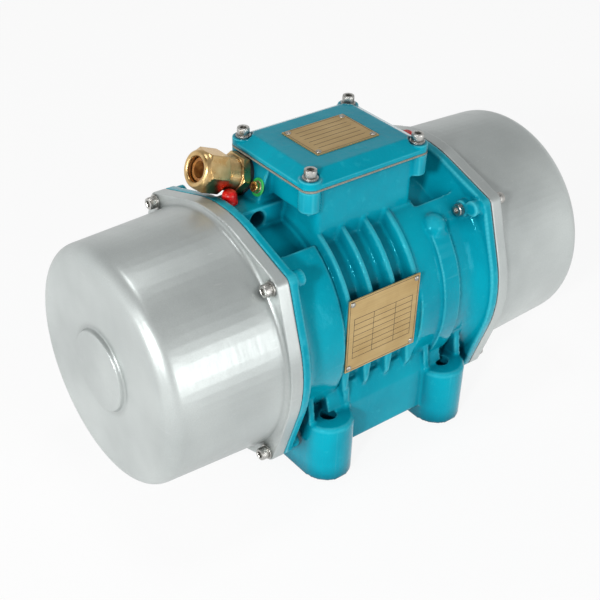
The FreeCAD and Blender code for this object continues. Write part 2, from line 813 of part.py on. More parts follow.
# ------------------------------------------------------------------ weight covers
cover = make_body("weight_cover", z=s.axis_height)
cover_end = s.housing_half + s.cover_length
boss_end = cover_end + s.end_boss_height
inner_rounding = s.cover_rounding - s.cover_wall
drawn = make_sketch(cover, "XZ_Plane")
draw_outline(drawn, [
    (s.housing_half, s.cover_radius - s.cover_wall), (s.housing_half, s.flange_radius),
    (cover_face, s.flange_radius), (cover_face, s.cover_radius + s.cover_root, s.cover_root),
    (cover_face + s.cover_root, s.cover_radius),
    (cover_end - s.cover_rounding, s.cover_end_radius, -s.cover_rounding),
    (cover_end, s.cover_end_radius - s.cover_rounding), (cover_end, s.end_boss_radius),
    (boss_end, s.end_boss_radius - s.end_boss_height * 0.4), (boss_end, 0),
    (cover_end - s.cover_wall, 0),
    (cover_end - s.cover_wall, s.cover_end_radius - s.cover_rounding, inner_rounding),
    (cover_end - s.cover_rounding, s.cover_end_radius - s.cover_wall)])
turn(cover, drawn)
add_lugs(cover, s.housing_half, s.cover_flange)
ring_of_holes(cover, cover_face, s.screw_circle, s.washer_width / 2 + s.bolt_gap,
              s.cover_flange, back=True)
ring_of_holes(cover, cover_face, s.screw_circle, s.screw_thread / 2 + s.bolt_gap, s.cover_flange)
both_sides("weight_cover", cover)

seal = make_body("cover_seal", z=s.axis_height)
drawn = make_sketch(seal, "XZ_Plane")
draw_circle(drawn, s.housing_half - s.seal_wire / 2, s.seal_radius, s.seal_wire / 2 - s.seat_gap)
turn(seal, drawn)
both_sides("cover_seal", seal)

screw = socket_screw("cover_screw", s.screw_thread, s.screw_head, s.screw_thread, s.screw_socket,
                     s.screw_length)
place(screw, cover_face + s.washer_thick, screw_offset, s.axis_height + screw_offset)
screws = four("cover_screws_right", screw, ACROSS, s.axis_height)
keep(mirrored("cover_screws_left", screws))
ring = washer("cover_washer", s.washer_width, s.screw_thread + s.bolt_gap, s.washer_thick)
place(ring, cover_face, screw_offset, s.axis_height + screw_offset)
rings = four("cover_washers_right", ring, ACROSS, s.axis_height)
keep(mirrored("cover_washers_left", rings))

# ------------------------------------------------------------------ terminal box
lid_half_x = s.lid_pitch_x / 2 + s.corner_radius
lid_half_y = s.lid_pitch_y / 2 + s.corner_radius
lid = keep(make_body("terminal_box_lid", z=s.box_top + s.gasket_thick))
drawn = make_sketch(lid, "XY_Plane")
draw_rounded(drawn, lid_half_x, lid_half_y, s.corner_radius)
pad(lid, drawn, s.lid_edge)
lower = make_sketch(lid, "XY_Plane", s.lid_edge)
draw_rounded(lower, lid_half_x, lid_half_y, s.corner_radius)
upper = make_sketch(lid, "XY_Plane", s.lid_height)
draw_rounded(upper, lid_half_x - s.lid_slope, lid_half_y - s.lid_slope, s.corner_radius / 2)
crown = lid.newObject("PartDesign::AdditiveLoft", "lid_crown")
crown.Profile = lower
crown.Sections = [upper]
crown.Ruled = True
drawn = make_sketch(lid, "XY_Plane")
corner_circles(drawn, s.lid_pitch_x, s.lid_pitch_y, s.corner_radius)
pad(lid, drawn, s.lid_seat)
drawn = make_sketch(lid, "XY_Plane", s.lid_seat)
corner_circles(drawn, s.lid_pitch_x, s.lid_pitch_y, s.corner_radius - 1)
pocket(lid, drawn, s.lid_height, back=True)
drawn = make_sketch(lid, "XY_Plane", s.lid_seat)
corner_circles(drawn, s.lid_pitch_x, s.lid_pitch_y, s.screw_thread / 2 + s.bolt_gap)
pocket(lid, drawn, s.lid_seat)
drawn = make_sketch(lid, "XY_Plane")
draw_rounded(drawn, s.lid_pitch_x / 2 - s.corner_radius, s.lid_pitch_y / 2 - s.corner_radius, s.box_wall)
pocket(lid, drawn, s.lid_height / 2, back=True)

gasket = keep(make_body("lid_gasket", z=s.box_top))
drawn = make_sketch(gasket, "XY_Plane")
draw_rounded(drawn, lid_half_x, lid_half_y, s.corner_radius)
draw_rounded(drawn, s.box_length / 2 - s.box_wall, s.box_width / 2 - s.box_wall - 4, s.box_wall)
corner_circles(drawn, s.lid_pitch_x, s.lid_pitch_y, s.screw_thread / 2 + s.bolt_gap)
pad(gasket, drawn, s.gasket_thick)

seat_height = s.box_top + s.gasket_thick + s.lid_seat
screw = socket_screw("lid_screw", s.screw_thread, s.screw_head, s.screw_thread, s.screw_socket,
                     s.screw_length - 3)
stand(screw)
place(screw, s.lid_pitch_x / 2, s.lid_pitch_y / 2, seat_height + s.washer_thick)
four("lid_screws", screw, AROUND)
ring = washer("lid_washer", s.washer_width, s.screw_thread + s.bolt_gap, s.washer_thick)
stand(ring)
place(ring, s.lid_pitch_x / 2, s.lid_pitch_y / 2, seat_height)
four("lid_washers", ring, AROUND)

board = keep(make_body("terminal_board", z=s.box_floor))
drawn = make_sketch(board, "XY_Plane")
draw_rounded(drawn, s.board_length / 2, s.board_width / 2, s.box_wall)
pad(board, drawn, s.board_thick)
drawn = make_sketch(board, "XY_Plane", s.board_thick)
for step in (-1, 0, 1):
    for side in (-1, 1):
        draw_circle(drawn, s.stud_pitch * step if step else 0, side * s.board_width / 4,
                    s.stud_thread / 2 + s.thread_gap)
pocket(board, drawn, s.board_thick - 2)

studs = []
for step in (-1, 0, 1):
    for side in (-1, 1):
        stud = turned("terminal_stud", [
            (-s.board_thick + 2 + s.seat_gap, 0), (-s.board_thick + 2 + s.seat_gap, s.stud_thread / 2),
            (0, s.stud_thread / 2), (0, s.stud_thread), (s.stud_thread, s.stud_thread),
            (s.stud_thread, s.stud_thread / 2), (s.stud_thread * 2.4, s.stud_thread / 2),
            (s.stud_thread * 2.4, 0)])
        stand(stud)
        place(stud, s.stud_pitch * step if step else 0, side * s.board_width / 4,
              s.box_floor + s.board_thick)
        studs.append(stud)
keep(grouped("terminal_studs", studs))


# ------------------------------------------------------------------ cable gland, along its own axis
def on_boss(thing, along=0, sideways=0, rise=0):
    """Set a piece that was made along X onto the tilted face of the gland boss."""
    thing.Placement = FreeCAD.Placement(
        FreeCAD.Vector(0, 0, 0), FreeCAD.Rotation(FreeCAD.Vector(0, 1, 0), 180))
    bind(thing, "Placement.Rotation.Angle", s.gland_tilt + 180)
    tilted(thing, size(along), size(sideways), rise)
    bind(thing, "Placement.Base.z", s.gland_z + size(along) * sine(s.gland_tilt)
         + size(rise) * cosine(s.gland_tilt))


def cut_flats(label, round_piece, flats, start, length):
    """The piece inside a hexagonal bar of the given width across flats."""
    bar = doc.addObject("Part::Prism", label + "_bar")
    bar.Polygon = 6
    bind(bar, "Circumradius", flats / 2 / cosine(30))
    bind(bar, "Height", length)
    bar.Placement = FreeCAD.Placement(
        FreeCAD.Vector(0, 0, 0), FreeCAD.Rotation(FreeCAD.Vector(1, 0, 0), 30).multiply(
            FreeCAD.Rotation(FreeCAD.Vector(0, 1, 0), 90)))
    bind(bar, "Placement.Base.x", start)
    made = doc.addObject("Part::Common", label)
    made.Label = label
    made.Base = round_piece
    made.Tool = bar
    return made


thread = s.gland_thread / 2
hex_radius = s.gland_flats / 2 / cosine(30)
hex_edge = s.gland_flats / 2 + 0.6
packing = keep(turned("gland_washer", [
    (0, thread + s.seat_gap), (0, s.gland_flats / 2 + 0.5), (s.gland_pack, s.gland_flats / 2 + 0.5),
    (s.gland_pack, thread + s.seat_gap)]))
on_boss(packing)
hex_end = s.gland_pack + s.gland_hex
nut_start = hex_end + s.gland_neck
nut_end = nut_start + s.gland_nut
seal_start = nut_start + 3
round_body = turned("gland_body_round", [
    (-s.gland_entry, s.gland_bore), (-s.gland_entry, thread), (s.gland_pack, thread),
    (s.gland_pack, hex_edge), (s.gland_pack + 0.8, hex_radius), (hex_end - 0.8, hex_radius),
    (hex_end, hex_edge), (hex_end, thread + 0.9), (nut_start - 0.5, thread + 0.9),
    (nut_start - 0.5, thread - 0.5), (seal_start + 8, thread - 0.5), (seal_start + 8, s.gland_bore + 1.6),
    (seal_start, s.gland_bore + 1.6), (seal_start, s.gland_bore)])
gland = keep(cut_flats("gland_body", round_body, s.gland_flats, -s.gland_entry - 1, nut_end + s.gland_entry))
on_boss(gland)
round_nut = turned("gland_nut_round", [
    (nut_start, thread - 0.5 + s.thread_gap), (nut_start, hex_edge), (nut_start + 0.8, hex_radius),
    (nut_end - 6, hex_radius), (nut_end - 4.5, hex_edge), (nut_end - 1.2, hex_edge - 1.5),
    (nut_end, hex_edge - 3), (nut_end, s.gland_bore + 1.4), (nut_end - 1.2, s.gland_bore),
    (nut_end - 4, s.gland_bore), (nut_end - 8, thread - 0.5 + s.thread_gap)])
nut = keep(cut_flats("gland_nut", round_nut, s.gland_flats, nut_start - 1, s.gland_nut + 2))
on_boss(nut)
rubber = keep(turned("gland_seal", [
    (seal_start + s.seat_gap, s.gland_bore - 3), (seal_start + s.seat_gap, s.gland_bore + 1.5),
    (nut_end - 8, s.gland_bore + 1.5), (nut_end - 4.5, s.gland_bore - 0.6), (nut_end - 4.5, s.gland_bore - 3)]))
on_boss(rubber)

# ------------------------------------------------------------------ earth screws, grease ports
earth = keep(socket_screw("box_earth_screw", s.earth_thread, s.earth_head, s.earth_thread * 0.7,
                          s.earth_thread * 0.8, s.earth_length - 2))
on_boss(earth, s.earth_washer, -s.earth_side, -1)
cup = keep(washer("box_earth_washer", s.earth_thread * 2, s.earth_thread + s.bolt_gap, s.earth_washer))
on_boss(cup, 0, -s.earth_side, -1)
earth = keep(socket_screw("flange_earth_screw", s.screw_thread, s.screw_head, s.screw_thread * 0.7,
                          s.screw_socket, s.earth_length - 4))
earth.Placement = FreeCAD.Placement(
    FreeCAD.Vector(0, 0, 0), FreeCAD.Rotation(FreeCAD.Vector(0, 0, 1), 180))
place(earth, rim_face - s.earth_boss, -s.earth_y, s.axis_height + s.earth_z)

for side, far, near, seat in (("left", -s.port_x, s.port_left_y, s.web_top),
                              ("right", s.port_x, s.port_right_y, s.web_top + s.port_boss)):
    nipple = keep(turned("grease_nipple_" + side, [
        (-s.nipple_thread, 0), (-s.nipple_thread, s.nipple_thread / 2), (0, s.nipple_thread / 2),
        (0, s.nipple_thread / 2 + 0.5), (2.5, s.nipple_thread / 2 + 0.5), (2.5, 2.2), (4.5, 2.2),
        (6, 3), (7.4, 1.4), (7.4, 0)]))
    cap = keep(turned("grease_cap_" + side, [
        (0, s.cap_radius - 1.2), (0, s.cap_radius), (1.4, s.cap_radius), (1.4, s.cap_radius - 0.5),
        (s.cap_height - 3.4, s.cap_radius - 0.7, -4.2), (s.cap_height, s.cap_radius - 3.4),
        (s.cap_height, 0), (s.cap_height - 1.2, 0), (s.cap_height - 1.2, s.cap_radius - 4),
        (s.cap_height - 3.4, s.cap_radius - 1.9)]))
    for piece in (nipple, cap):
        stand(piece)
        place(piece, far, near, seat)

# ------------------------------------------------------------------ plates and rivets
plate = keep(make_body("name_plate", z=s.axis_height))
drawn = make_sketch(plate, "XZ_Plane", s.plate_face)
left = s.fin_middle - s.plate_length / 2
right = s.fin_middle + s.plate_length / 2
low = s.plate_rise - s.plate_height / 2
high = s.plate_rise + s.plate_height / 2
draw_box(drawn, left, right, low, high)
corners = [(x, z) for x in (left + s.plate_inset, right - s.plate_inset)
           for z in (low + s.plate_inset, high - s.plate_inset)]
for x, z in corners:
    draw_circle(drawn, x, z, s.rivet_shank / 2 + s.thread_gap)
pad(plate, drawn, s.plate_thick)


def rivet(label):
    """A drive rivet along X with a low round head."""
    return turned(label, [
        (-s.rivet_length, 0), (-s.rivet_length, s.rivet_shank / 2), (0, s.rivet_shank / 2),
        (0, s.rivet_head / 2), (0.5, s.rivet_head / 2), (1.3, s.rivet_head / 4), (1.3, 0)])


pins = []
for x, z in corners:
    pin_body = rivet("name_rivet")
    pin_body.Placement = FreeCAD.Placement(
        FreeCAD.Vector(0, 0, 0), FreeCAD.Rotation(FreeCAD.Vector(0, 0, 1), -90))
    place(pin_body, x, -s.plate_face - s.plate_thick, s.axis_height + z)
    pins.append(pin_body)
keep(grouped("name_plate_rivets", pins))
drawn = make_sketch(housing, "XZ_Plane", s.plate_face)
for x, z in corners:
    draw_circle(drawn, x, z, s.rivet_shank / 2 + s.thread_gap)
pocket(housing, drawn, s.rivet_length)

crown_top = s.box_top + s.gasket_thick + s.lid_height
label_plate = keep(make_body("lid_plate", z=crown_top))
drawn = make_sketch(label_plate, "XY_Plane")
draw_box(drawn, -s.lid_plate_length / 2, s.lid_plate_length / 2,
         -s.lid_plate_width / 2, s.lid_plate_width / 2)
rivet_pitch_x = s.lid_plate_length - s.plate_inset * 2
rivet_pitch_y = s.lid_plate_width - s.plate_inset * 2
corner_circles(drawn, rivet_pitch_x, rivet_pitch_y, s.rivet_shank / 2 + s.thread_gap)
pad(label_plate, drawn, s.plate_thick)
pin_body = rivet("lid_rivet")
stand(pin_body)
place(pin_body, rivet_pitch_x / 2, rivet_pitch_y / 2, crown_top + s.plate_thick)
four("lid_plate_rivets", pin_body, AROUND)
drawn = make_sketch(lid, "XY_Plane", s.lid_height)
corner_circles(drawn, rivet_pitch_x, rivet_pitch_y, s.rivet_shank / 2 + s.thread_gap)
pocket(lid, drawn, s.rivet_length)

# ------------------------------------------------------------------ bearings and shields
bearing_end = s.bearing_start + s.bearing_width
bearing_middle = s.bearing_start + s.bearing_width / 2
shield = make_body("bearing_shield", z=s.axis_height)
shield_face = s.housing_half - s.bolt_gap
drawn = make_sketch(shield, "XZ_Plane")
draw_outline(drawn, [
    (s.shield_inner, s.inner_race + 1), (s.shield_inner, s.hub_radius),
    (s.bearing_start + s.bearing_width / 2, s.hub_radius + 4),
    (s.bearing_start + s.bearing_width / 2, s.spigot_radius - s.seat_gap),
    (seat_face, s.spigot_radius - s.seat_gap), (seat_face, s.shield_seat - s.seat_gap),
    (shield_face, s.shield_seat - s.seat_gap), (shield_face, s.bearing_outer),
    (s.bearing_start, s.bearing_outer), (s.bearing_start, s.inner_race + 1)])
turn(shield, drawn)
head_seat = seat_face + s.shield_seat_web
ring_of_holes(shield, shield_face, s.shield_screw_circle, s.screw_head / 2 + s.bolt_gap,
              shield_face - head_seat)
ring_of_holes(shield, shield_face, s.shield_screw_circle, s.screw_thread / 2 + s.bolt_gap,
              s.shield_depth)
both_sides("bearing_shield", shield)
screw = socket_screw("shield_screw", s.screw_thread, s.screw_head, s.screw_thread, s.screw_socket,
                     s.screw_length)
place(screw, head_seat, shield_offset, s.axis_height + shield_offset)
screws = four("shield_screws_right", screw, ACROSS, s.axis_height)
keep(mirrored("shield_screws_left", screws))

race_half = s.roller_length / 2 + s.running_gap * 2
outer_ring = turned("bearing_outer_ring", [
    (s.bearing_start, s.outer_race - 2), (s.bearing_start, s.bearing_outer),
    (bearing_end, s.bearing_outer), (bearing_end, s.outer_race - 2),
    (bearing_middle + race_half, s.outer_race - 2), (bearing_middle + race_half, s.outer_race),
    (bearing_middle - race_half, s.outer_race), (bearing_middle - race_half, s.outer_race - 2)],
    z=s.axis_height)
both_sides("bearing_outer_ring", outer_ring)
inner_ring = turned("bearing_inner_ring", [
    (s.bearing_start, s.bearing_bore), (s.bearing_start, s.inner_race), (bearing_end, s.inner_race),
    (bearing_end, s.bearing_bore)], z=s.axis_height)
both_sides("bearing_inner_ring", inner_ring)
roller_circle = (s.inner_race + s.outer_race) / 2
roller_radius = (s.outer_race - s.inner_race) / 2 - s.running_gap
ROLLERS = 12
rollers = []
for step in range(ROLLERS):
    roller = doc.addObject("Part::Cylinder", "roller")
    bind(roller, "Radius", roller_radius)
    bind(roller, "Height", s.roller_length)
    roller.Placement.Rotation = FreeCAD.Rotation(FreeCAD.Vector(0, 1, 0), 90)
    place(roller, bearing_middle - s.roller_length / 2, roller_circle * cosine(360 / ROLLERS * step),
          s.axis_height + roller_circle * sine(360 / ROLLERS * step))
    rollers.append(roller)
both_sides("bearing_rollers", grouped("bearing_rollers", rollers))
cage = turned("bearing_cage", [
    (bearing_middle - s.cage_half, roller_circle - s.cage_thick / 2),
    (bearing_middle - s.cage_half, roller_circle + s.cage_thick / 2),
    (bearing_middle + s.cage_half, roller_circle + s.cage_thick / 2),
    (bearing_middle + s.cage_half, roller_circle - s.cage_thick / 2)], z=s.axis_height)
drawn = make_sketch(cage, "YZ_Plane", bearing_middle)
draw_circle(drawn, roller_circle, 0, roller_radius + s.running_gap * 4)
window = pocket(cage, drawn, s.roller_length + s.running_gap * 8, middle=True)
repeat(cage, [window], "X_Axis", ROLLERS)
both_sides("bearing_cage", cage)

cap_ring = turned("bearing_cap", [
    (bearing_end + s.seat_gap, s.labyrinth_radius + s.bolt_gap), (bearing_end + s.seat_gap, s.bearing_outer),
    (shield_face, s.bearing_outer), (shield_face, s.labyrinth_radius + s.bolt_gap)], z=s.axis_height)
both_sides("bearing_cap", cap_ring)
labyrinth = turned("labyrinth_ring", [
    (bearing_end, s.bearing_bore), (bearing_end, s.inner_race), (bearing_end + 2, s.labyrinth_radius),
    (s.journal_start, s.labyrinth_radius), (s.journal_start, s.bearing_bore)], z=s.axis_height)
both_sides("labyrinth_ring", labyrinth)

# ------------------------------------------------------------------ stator and rotor
SLOTS = 24
stator_inner = s.rotor_radius + s.air_gap


def slot_outline(drawn, gap):
    """One closed stator slot across the Y axis."""
    draw_outline(drawn, [
        (stator_inner + 2 + gap, -1 * s.slot_width / 2 + gap), (s.slot_depth, -1 * s.slot_width * 0.7 + gap),
        (s.slot_depth, s.slot_width * 0.7 - gap), (stator_inner + 2 + gap, s.slot_width / 2 - gap)])


stator = keep(make_body("stator_core", z=s.axis_height))
drawn = make_sketch(stator, "YZ_Plane")
draw_circle(drawn, 0, 0, s.stator_bore - s.running_gap)
draw_circle(drawn, 0, 0, stator_inner)
pad(stator, drawn, s.stack_half * 2, middle=True)
drawn = make_sketch(stator, "YZ_Plane")
slot_outline(drawn, ZERO)
slot = pocket(stator, drawn, s.stack_half * 2 + 2, middle=True)
repeat(stator, [slot], "X_Axis", SLOTS)

winding = keep(make_body("stator_windings", z=s.axis_height))
drawn = make_sketch(winding, "YZ_Plane")
slot_outline(drawn, s.bolt_gap)
bar = pad(winding, drawn, s.stack_half * 2 + 6, middle=True)
repeat(winding, [bar], "X_Axis", SLOTS)
for side in (-1, 1):
    drawn = make_sketch(winding, "XZ_Plane")
    inner = s.stack_half + 1
    low = stator_inner + 1.5
    points = [(inner, low), (s.winding_reach, low + 2), (s.winding_reach, s.slot_depth),
              (s.winding_reach - 3, s.slot_depth + 4), (inner, s.slot_depth + 4)]
    draw_outline(drawn, [(side * x, r) for x, r in points])
    turn(winding, drawn)

core = keep(turned("rotor_core", [
    (-s.stack_half, s.shaft_core), (-s.stack_half, s.end_ring_inner), (-s.end_ring_reach, s.end_ring_inner),
    (-s.end_ring_reach, s.rotor_radius - 1), (-s.stack_half, s.rotor_radius - 1),
    (-s.stack_half, s.rotor_radius), (s.stack_half, s.rotor_radius), (s.stack_half, s.rotor_radius - 1),
    (s.end_ring_reach, s.rotor_radius - 1), (s.end_ring_reach, s.end_ring_inner),
    (s.stack_half, s.end_ring_inner), (s.stack_half, s.shaft_core)], z=s.axis_height))

weight_end = s.weight_start + s.weight_thick
outer_start = weight_end + s.weight_gap
outer_end = outer_start + s.weight_thick
ring_start = outer_end + s.weight_gap / 2
shaft = keep(make_body("rotor_shaft", z=s.axis_height))
half = [(s.bearing_start, s.shaft_core), (s.bearing_start, s.bearing_bore),
        (s.journal_start, s.bearing_bore), (s.journal_start, s.journal_radius),
        (ring_start, s.journal_radius), (ring_start, s.ring_groove),
        (ring_start + s.ring_thick + s.seat_gap, s.ring_groove),
        (ring_start + s.ring_thick + s.seat_gap, s.journal_radius),
        (s.shaft_end - 1.5, s.journal_radius), (s.shaft_end, s.journal_radius - 1.5), (s.shaft_end, 0)]
drawn = make_sketch(shaft, "XZ_Plane")
draw_outline(drawn, [(-x, r) for x, r in half[::-1]] + half)
turn(shaft, drawn)
key_deep = s.journal_radius - s.key_rise
for side in (-1, 1):
    drawn = make_sketch(shaft, "XY_Plane", -key_deep)
    edges = sorted((side * (s.weight_start + 1), side * (weight_end - 1)), key=lambda edge: edge.number)
    draw_box(drawn, edges[0], edges[1], -s.key_width / 2, s.key_width / 2)
    pocket(shaft, drawn, s.journal_radius)

key = doc.addObject("Part::Box", "weight_key")
bind(key, "Length", s.weight_thick - 2 - s.seat_gap * 2)
bind(key, "Width", s.key_width - s.running_gap * 2)
bind(key, "Height", s.key_rise * 2)
place(key, s.weight_start + 1 + s.seat_gap, s.running_gap - s.key_width / 2,
      s.axis_height - s.journal_radius - s.key_rise)
keep(grouped("weight_keys", [key, mirrored("weight_key_copy", key)]))
snap = turned("retaining_ring", [
    (ring_start + s.seat_gap / 2, s.ring_groove + s.seat_gap), (ring_start + s.seat_gap / 2, s.ring_outer),
    (ring_start + s.ring_thick, s.ring_outer), (ring_start + s.ring_thick, s.ring_groove + s.seat_gap)],
    z=s.axis_height)
keep(grouped("retaining_rings", [snap, mirrored("retaining_ring_copy", snap)]))


# ------------------------------------------------------------------ eccentric weights
def eccentric(label, start, bore, keyed):
    """A weight cut from thick plate: a sector below, a split hub with a clamp screw above."""
    body = make_body(label, z=s.axis_height)
    drawn = make_sketch(body, "YZ_Plane", start)
    wide = s.weight_radius * cosine(s.weight_lean)
    deep = s.weight_radius * sine(s.weight_lean)
    neck = s.weight_hub * cosine(10)
    lift = s.weight_hub * sine(10)
    draw_outline(drawn, [(-wide, -deep, s.weight_radius), (wide, -deep), (neck, lift, s.weight_hub),
                         (-neck, lift)])
    draw_circle(drawn, 0, 0, bore)
    pad(body, drawn, s.weight_thick)
    drawn = make_sketch(body, "YZ_Plane", start)
    draw_box(drawn, -s.slit_width / 2, s.slit_width / 2, s.journal_radius * 0.6, s.weight_hub + 1)
    pocket(body, drawn, s.weight_thick, back=True)
    if keyed:
        drawn = make_sketch(body, "YZ_Plane", start)
        draw_box(drawn, -s.key_width / 2, s.key_width / 2,
                 -s.journal_radius - s.key_rise - s.seat_gap, -s.journal_radius * 0.6)
        pocket(body, drawn, s.weight_thick, back=True)
    middle = start + s.weight_thick / 2
    drawn = make_sketch(body, "XZ_Plane")
    draw_circle(drawn, middle, s.clamp_rise, s.clamp_thread / 2 + s.bolt_gap)
    pocket(body, drawn, s.weight_hub * 2, middle=True)
    drawn = make_sketch(body, "XZ_Plane", s.clamp_seat)
    draw_circle(drawn, middle, s.clamp_rise, s.clamp_head / 2 + s.bolt_gap)
    pocket(body, drawn, s.weight_hub, back=True)
    return body


def clamp_screw(label, start):
    body = socket_screw(label, s.clamp_thread, s.clamp_head, s.clamp_thread, s.clamp_thread * 0.75,
                        s.clamp_length)
    body.Placement = FreeCAD.Placement(
        FreeCAD.Vector(0, 0, 0), FreeCAD.Rotation(FreeCAD.Vector(0, 0, 1), -90))
    place(body, start + s.weight_thick / 2, -s.clamp_seat, s.axis_height + s.clamp_rise)
    return body


both_sides("fixed_weight", eccentric("fixed_weight", s.weight_start,
                                     s.journal_radius + s.running_gap, True))
both_sides("adjustable_weight", eccentric("adjustable_weight", outer_start,
                                          s.journal_radius + s.running_gap, False))
inner_clamp = clamp_screw("inner_clamp", s.weight_start)
keep(grouped("fixed_weight_screws", [inner_clamp, mirrored("inner_clamp_copy", inner_clamp)]))
both_sides("adjustable_weight_screw", clamp_screw("adjustable_weight_screw", outer_start))


# ------------------------------------------------------------------ write the nodes
doc.recompute()
for thing in doc.Objects:
    if "Invalid" in thing.State or "Error" in thing.State:
        raise RuntimeError(f"{thing.Name} ({thing.Label}) failed: {thing.State}")
os.makedirs("parts", exist_ok=True)
for node in NODES:
    if node.Shape.isNull() or not node.Shape.isValid():
        raise RuntimeError(f"{node.Label} has no valid shape")
    node.Shape.exportStep(f"parts/{node.Label}.step")
    print(node.Label, len(node.Shape.Solids), round(node.Shape.Volume))
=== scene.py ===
import json
import math

import bmesh
import bpy
from mathutils import Matrix, Vector

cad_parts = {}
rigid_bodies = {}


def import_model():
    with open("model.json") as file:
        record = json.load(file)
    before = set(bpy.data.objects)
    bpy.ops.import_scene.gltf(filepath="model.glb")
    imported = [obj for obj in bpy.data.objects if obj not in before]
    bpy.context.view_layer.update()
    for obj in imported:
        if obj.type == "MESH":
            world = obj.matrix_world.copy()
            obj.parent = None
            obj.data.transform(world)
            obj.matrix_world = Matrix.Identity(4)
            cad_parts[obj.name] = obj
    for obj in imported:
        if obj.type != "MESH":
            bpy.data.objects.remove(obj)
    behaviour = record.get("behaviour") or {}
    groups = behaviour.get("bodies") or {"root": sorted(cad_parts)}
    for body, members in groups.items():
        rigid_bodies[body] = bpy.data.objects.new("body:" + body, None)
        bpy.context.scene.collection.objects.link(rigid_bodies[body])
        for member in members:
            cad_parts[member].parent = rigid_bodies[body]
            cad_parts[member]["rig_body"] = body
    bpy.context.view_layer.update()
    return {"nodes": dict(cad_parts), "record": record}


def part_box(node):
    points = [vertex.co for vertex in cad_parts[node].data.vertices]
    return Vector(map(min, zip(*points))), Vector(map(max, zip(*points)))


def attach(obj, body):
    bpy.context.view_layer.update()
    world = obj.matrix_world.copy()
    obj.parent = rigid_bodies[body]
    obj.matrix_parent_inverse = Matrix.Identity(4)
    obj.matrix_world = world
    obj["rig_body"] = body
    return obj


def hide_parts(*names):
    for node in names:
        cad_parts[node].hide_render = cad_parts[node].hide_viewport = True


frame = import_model()
nodes = frame["nodes"]


# ---------------------------------------------------------------- cast housing
# A sand-cast grey iron body with feet, fins, flanges and the terminal box's neck, in one piece.
# It is sprayed with a thick teal enamel that rounds every edge and pools in the corners; painted shade
# darkens those corners and a painted highlight lightens the edges.
# The lid is a separate casting in the same paint.

def linear(colour):
    """An sRGB hex colour as Blender's linear one."""
    parts = [int(colour[i:i + 2], 16) / 255 for i in (1, 3, 5)]
    return [p / 12.92 if p <= 0.04045 else ((p + 0.055) / 1.055) ** 2.4 for p in parts] + [1.0]


def add(tree, kind, inputs=None, **settings):
    """Adds a node with its settings; an input is a value or another node's output."""
    made = tree.nodes.new(kind)
    for name, value in settings.items():
        setattr(made, name, value)
    for socket, value in (inputs or {}).items():
        if isinstance(value, bpy.types.NodeSocket):
            tree.links.new(value, made.inputs[socket])
        else:
            made.inputs[socket].default_value = value
    return made


def new_finish(name):
    """A material with its shader and the object's own coordinates."""
    made = bpy.data.materials.new(name)
    made.use_nodes = True
    tree = made.node_tree
    shader = tree.nodes["Principled BSDF"]
    place = tree.nodes.new("ShaderNodeTexCoord").outputs["Object"]
    return made, tree, shader, place


def casting_enamel():
    """Two-pack enamel over a sand casting: a wet gloss, a slow wave from the sand and fine orange peel. It is
    thinner and paler over the sand's high spots; a painted highlight lightens its sharp edges and painted
    shade darkens its corners."""
    made, tree, shader, place = new_finish("teal_enamel_on_casting")
    sand = add(tree, "ShaderNodeTexNoise", {"Vector": place, "Scale": 120.0, "Detail": 4.0, "Roughness": 0.6})
    peel = add(tree, "ShaderNodeTexNoise", {"Vector": place, "Scale": 640.0, "Detail": 2.0})
    clouds = add(tree, "ShaderNodeTexNoise", {"Vector": place, "Scale": 18.0, "Detail": 3.0})
    corners = add(tree, "ShaderNodeAmbientOcclusion", {"Distance": 0.016}, samples=8)
    share = add(tree, "ShaderNodeMapRange", {"Value": clouds.outputs[0], "From Min": 0.35,
                                             "From Max": 0.65}).outputs[0]
    tone = add(tree, "ShaderNodeMix", {0: share, 6: linear("#028FA5"), 7: linear("#04A0B5")},
               data_type="RGBA").outputs[2]
    share = add(tree, "ShaderNodeMapRange", {"Value": sand.outputs[0], "From Min": 0.60, "From Max": 0.72,
                                             "To Max": 0.30}).outputs[0]
    thin = add(tree, "ShaderNodeMix", {0: share, 6: tone, 7: linear("#2BB4C4")},
               data_type="RGBA").outputs[2]
    # Painted highlight: the sharp edges, found by pointiness, are lightened towards a pale teal.
    shape = add(tree, "ShaderNodeNewGeometry")
    share = add(tree, "ShaderNodeMapRange", {"Value": shape.outputs["Pointiness"], "From Min": 0.51,
                                             "From Max": 0.57, "To Max": 0.75}).outputs[0]
    edges = add(tree, "ShaderNodeMix", {0: share, 6: thin, 7: linear("#5FCFDB")},
                data_type="RGBA").outputs[2]
    # Painted shade: ambient occlusion darkens the corners and fin valleys towards a deep teal.
    share = add(tree, "ShaderNodeMapRange", {"Value": corners.outputs["AO"], "From Min": 0.35,
                                             "To Min": 0.95, "To Max": 0.0}).outputs[0]
    painted_corner_shade = add(tree, "ShaderNodeMix", {0: share, 6: edges, 7: linear("#014C60")},
                 data_type="RGBA").outputs[2]
    tree.links.new(painted_corner_shade, shader.inputs["Base Color"])
    gloss = add(tree, "ShaderNodeMapRange", {"Value": clouds.outputs[0], "From Min": 0.3, "From Max": 0.7,
                                             "To Min": 0.07, "To Max": 0.14}).outputs[0]
    tree.links.new(gloss, shader.inputs["Roughness"])
    soft = add(tree, "ShaderNodeBevel", {"Radius": 0.0016}, samples=6)
    wave = add(tree, "ShaderNodeBump", {"Height": sand.outputs[0], "Strength": 0.30, "Distance": 0.0011,
                                        "Normal": soft.outputs[0]})
    skin = add(tree, "ShaderNodeBump", {"Height": peel.outputs[0], "Strength": 0.14, "Distance": 0.0003,
                                        "Normal": wave.outputs[0]})
    tree.links.new(skin.outputs[0], shader.inputs["Normal"])
    shader.inputs["Specular IOR Level"].default_value = 0.3
    shader.inputs["Specular Tint"].default_value = linear("#4FC3D2")
    return made


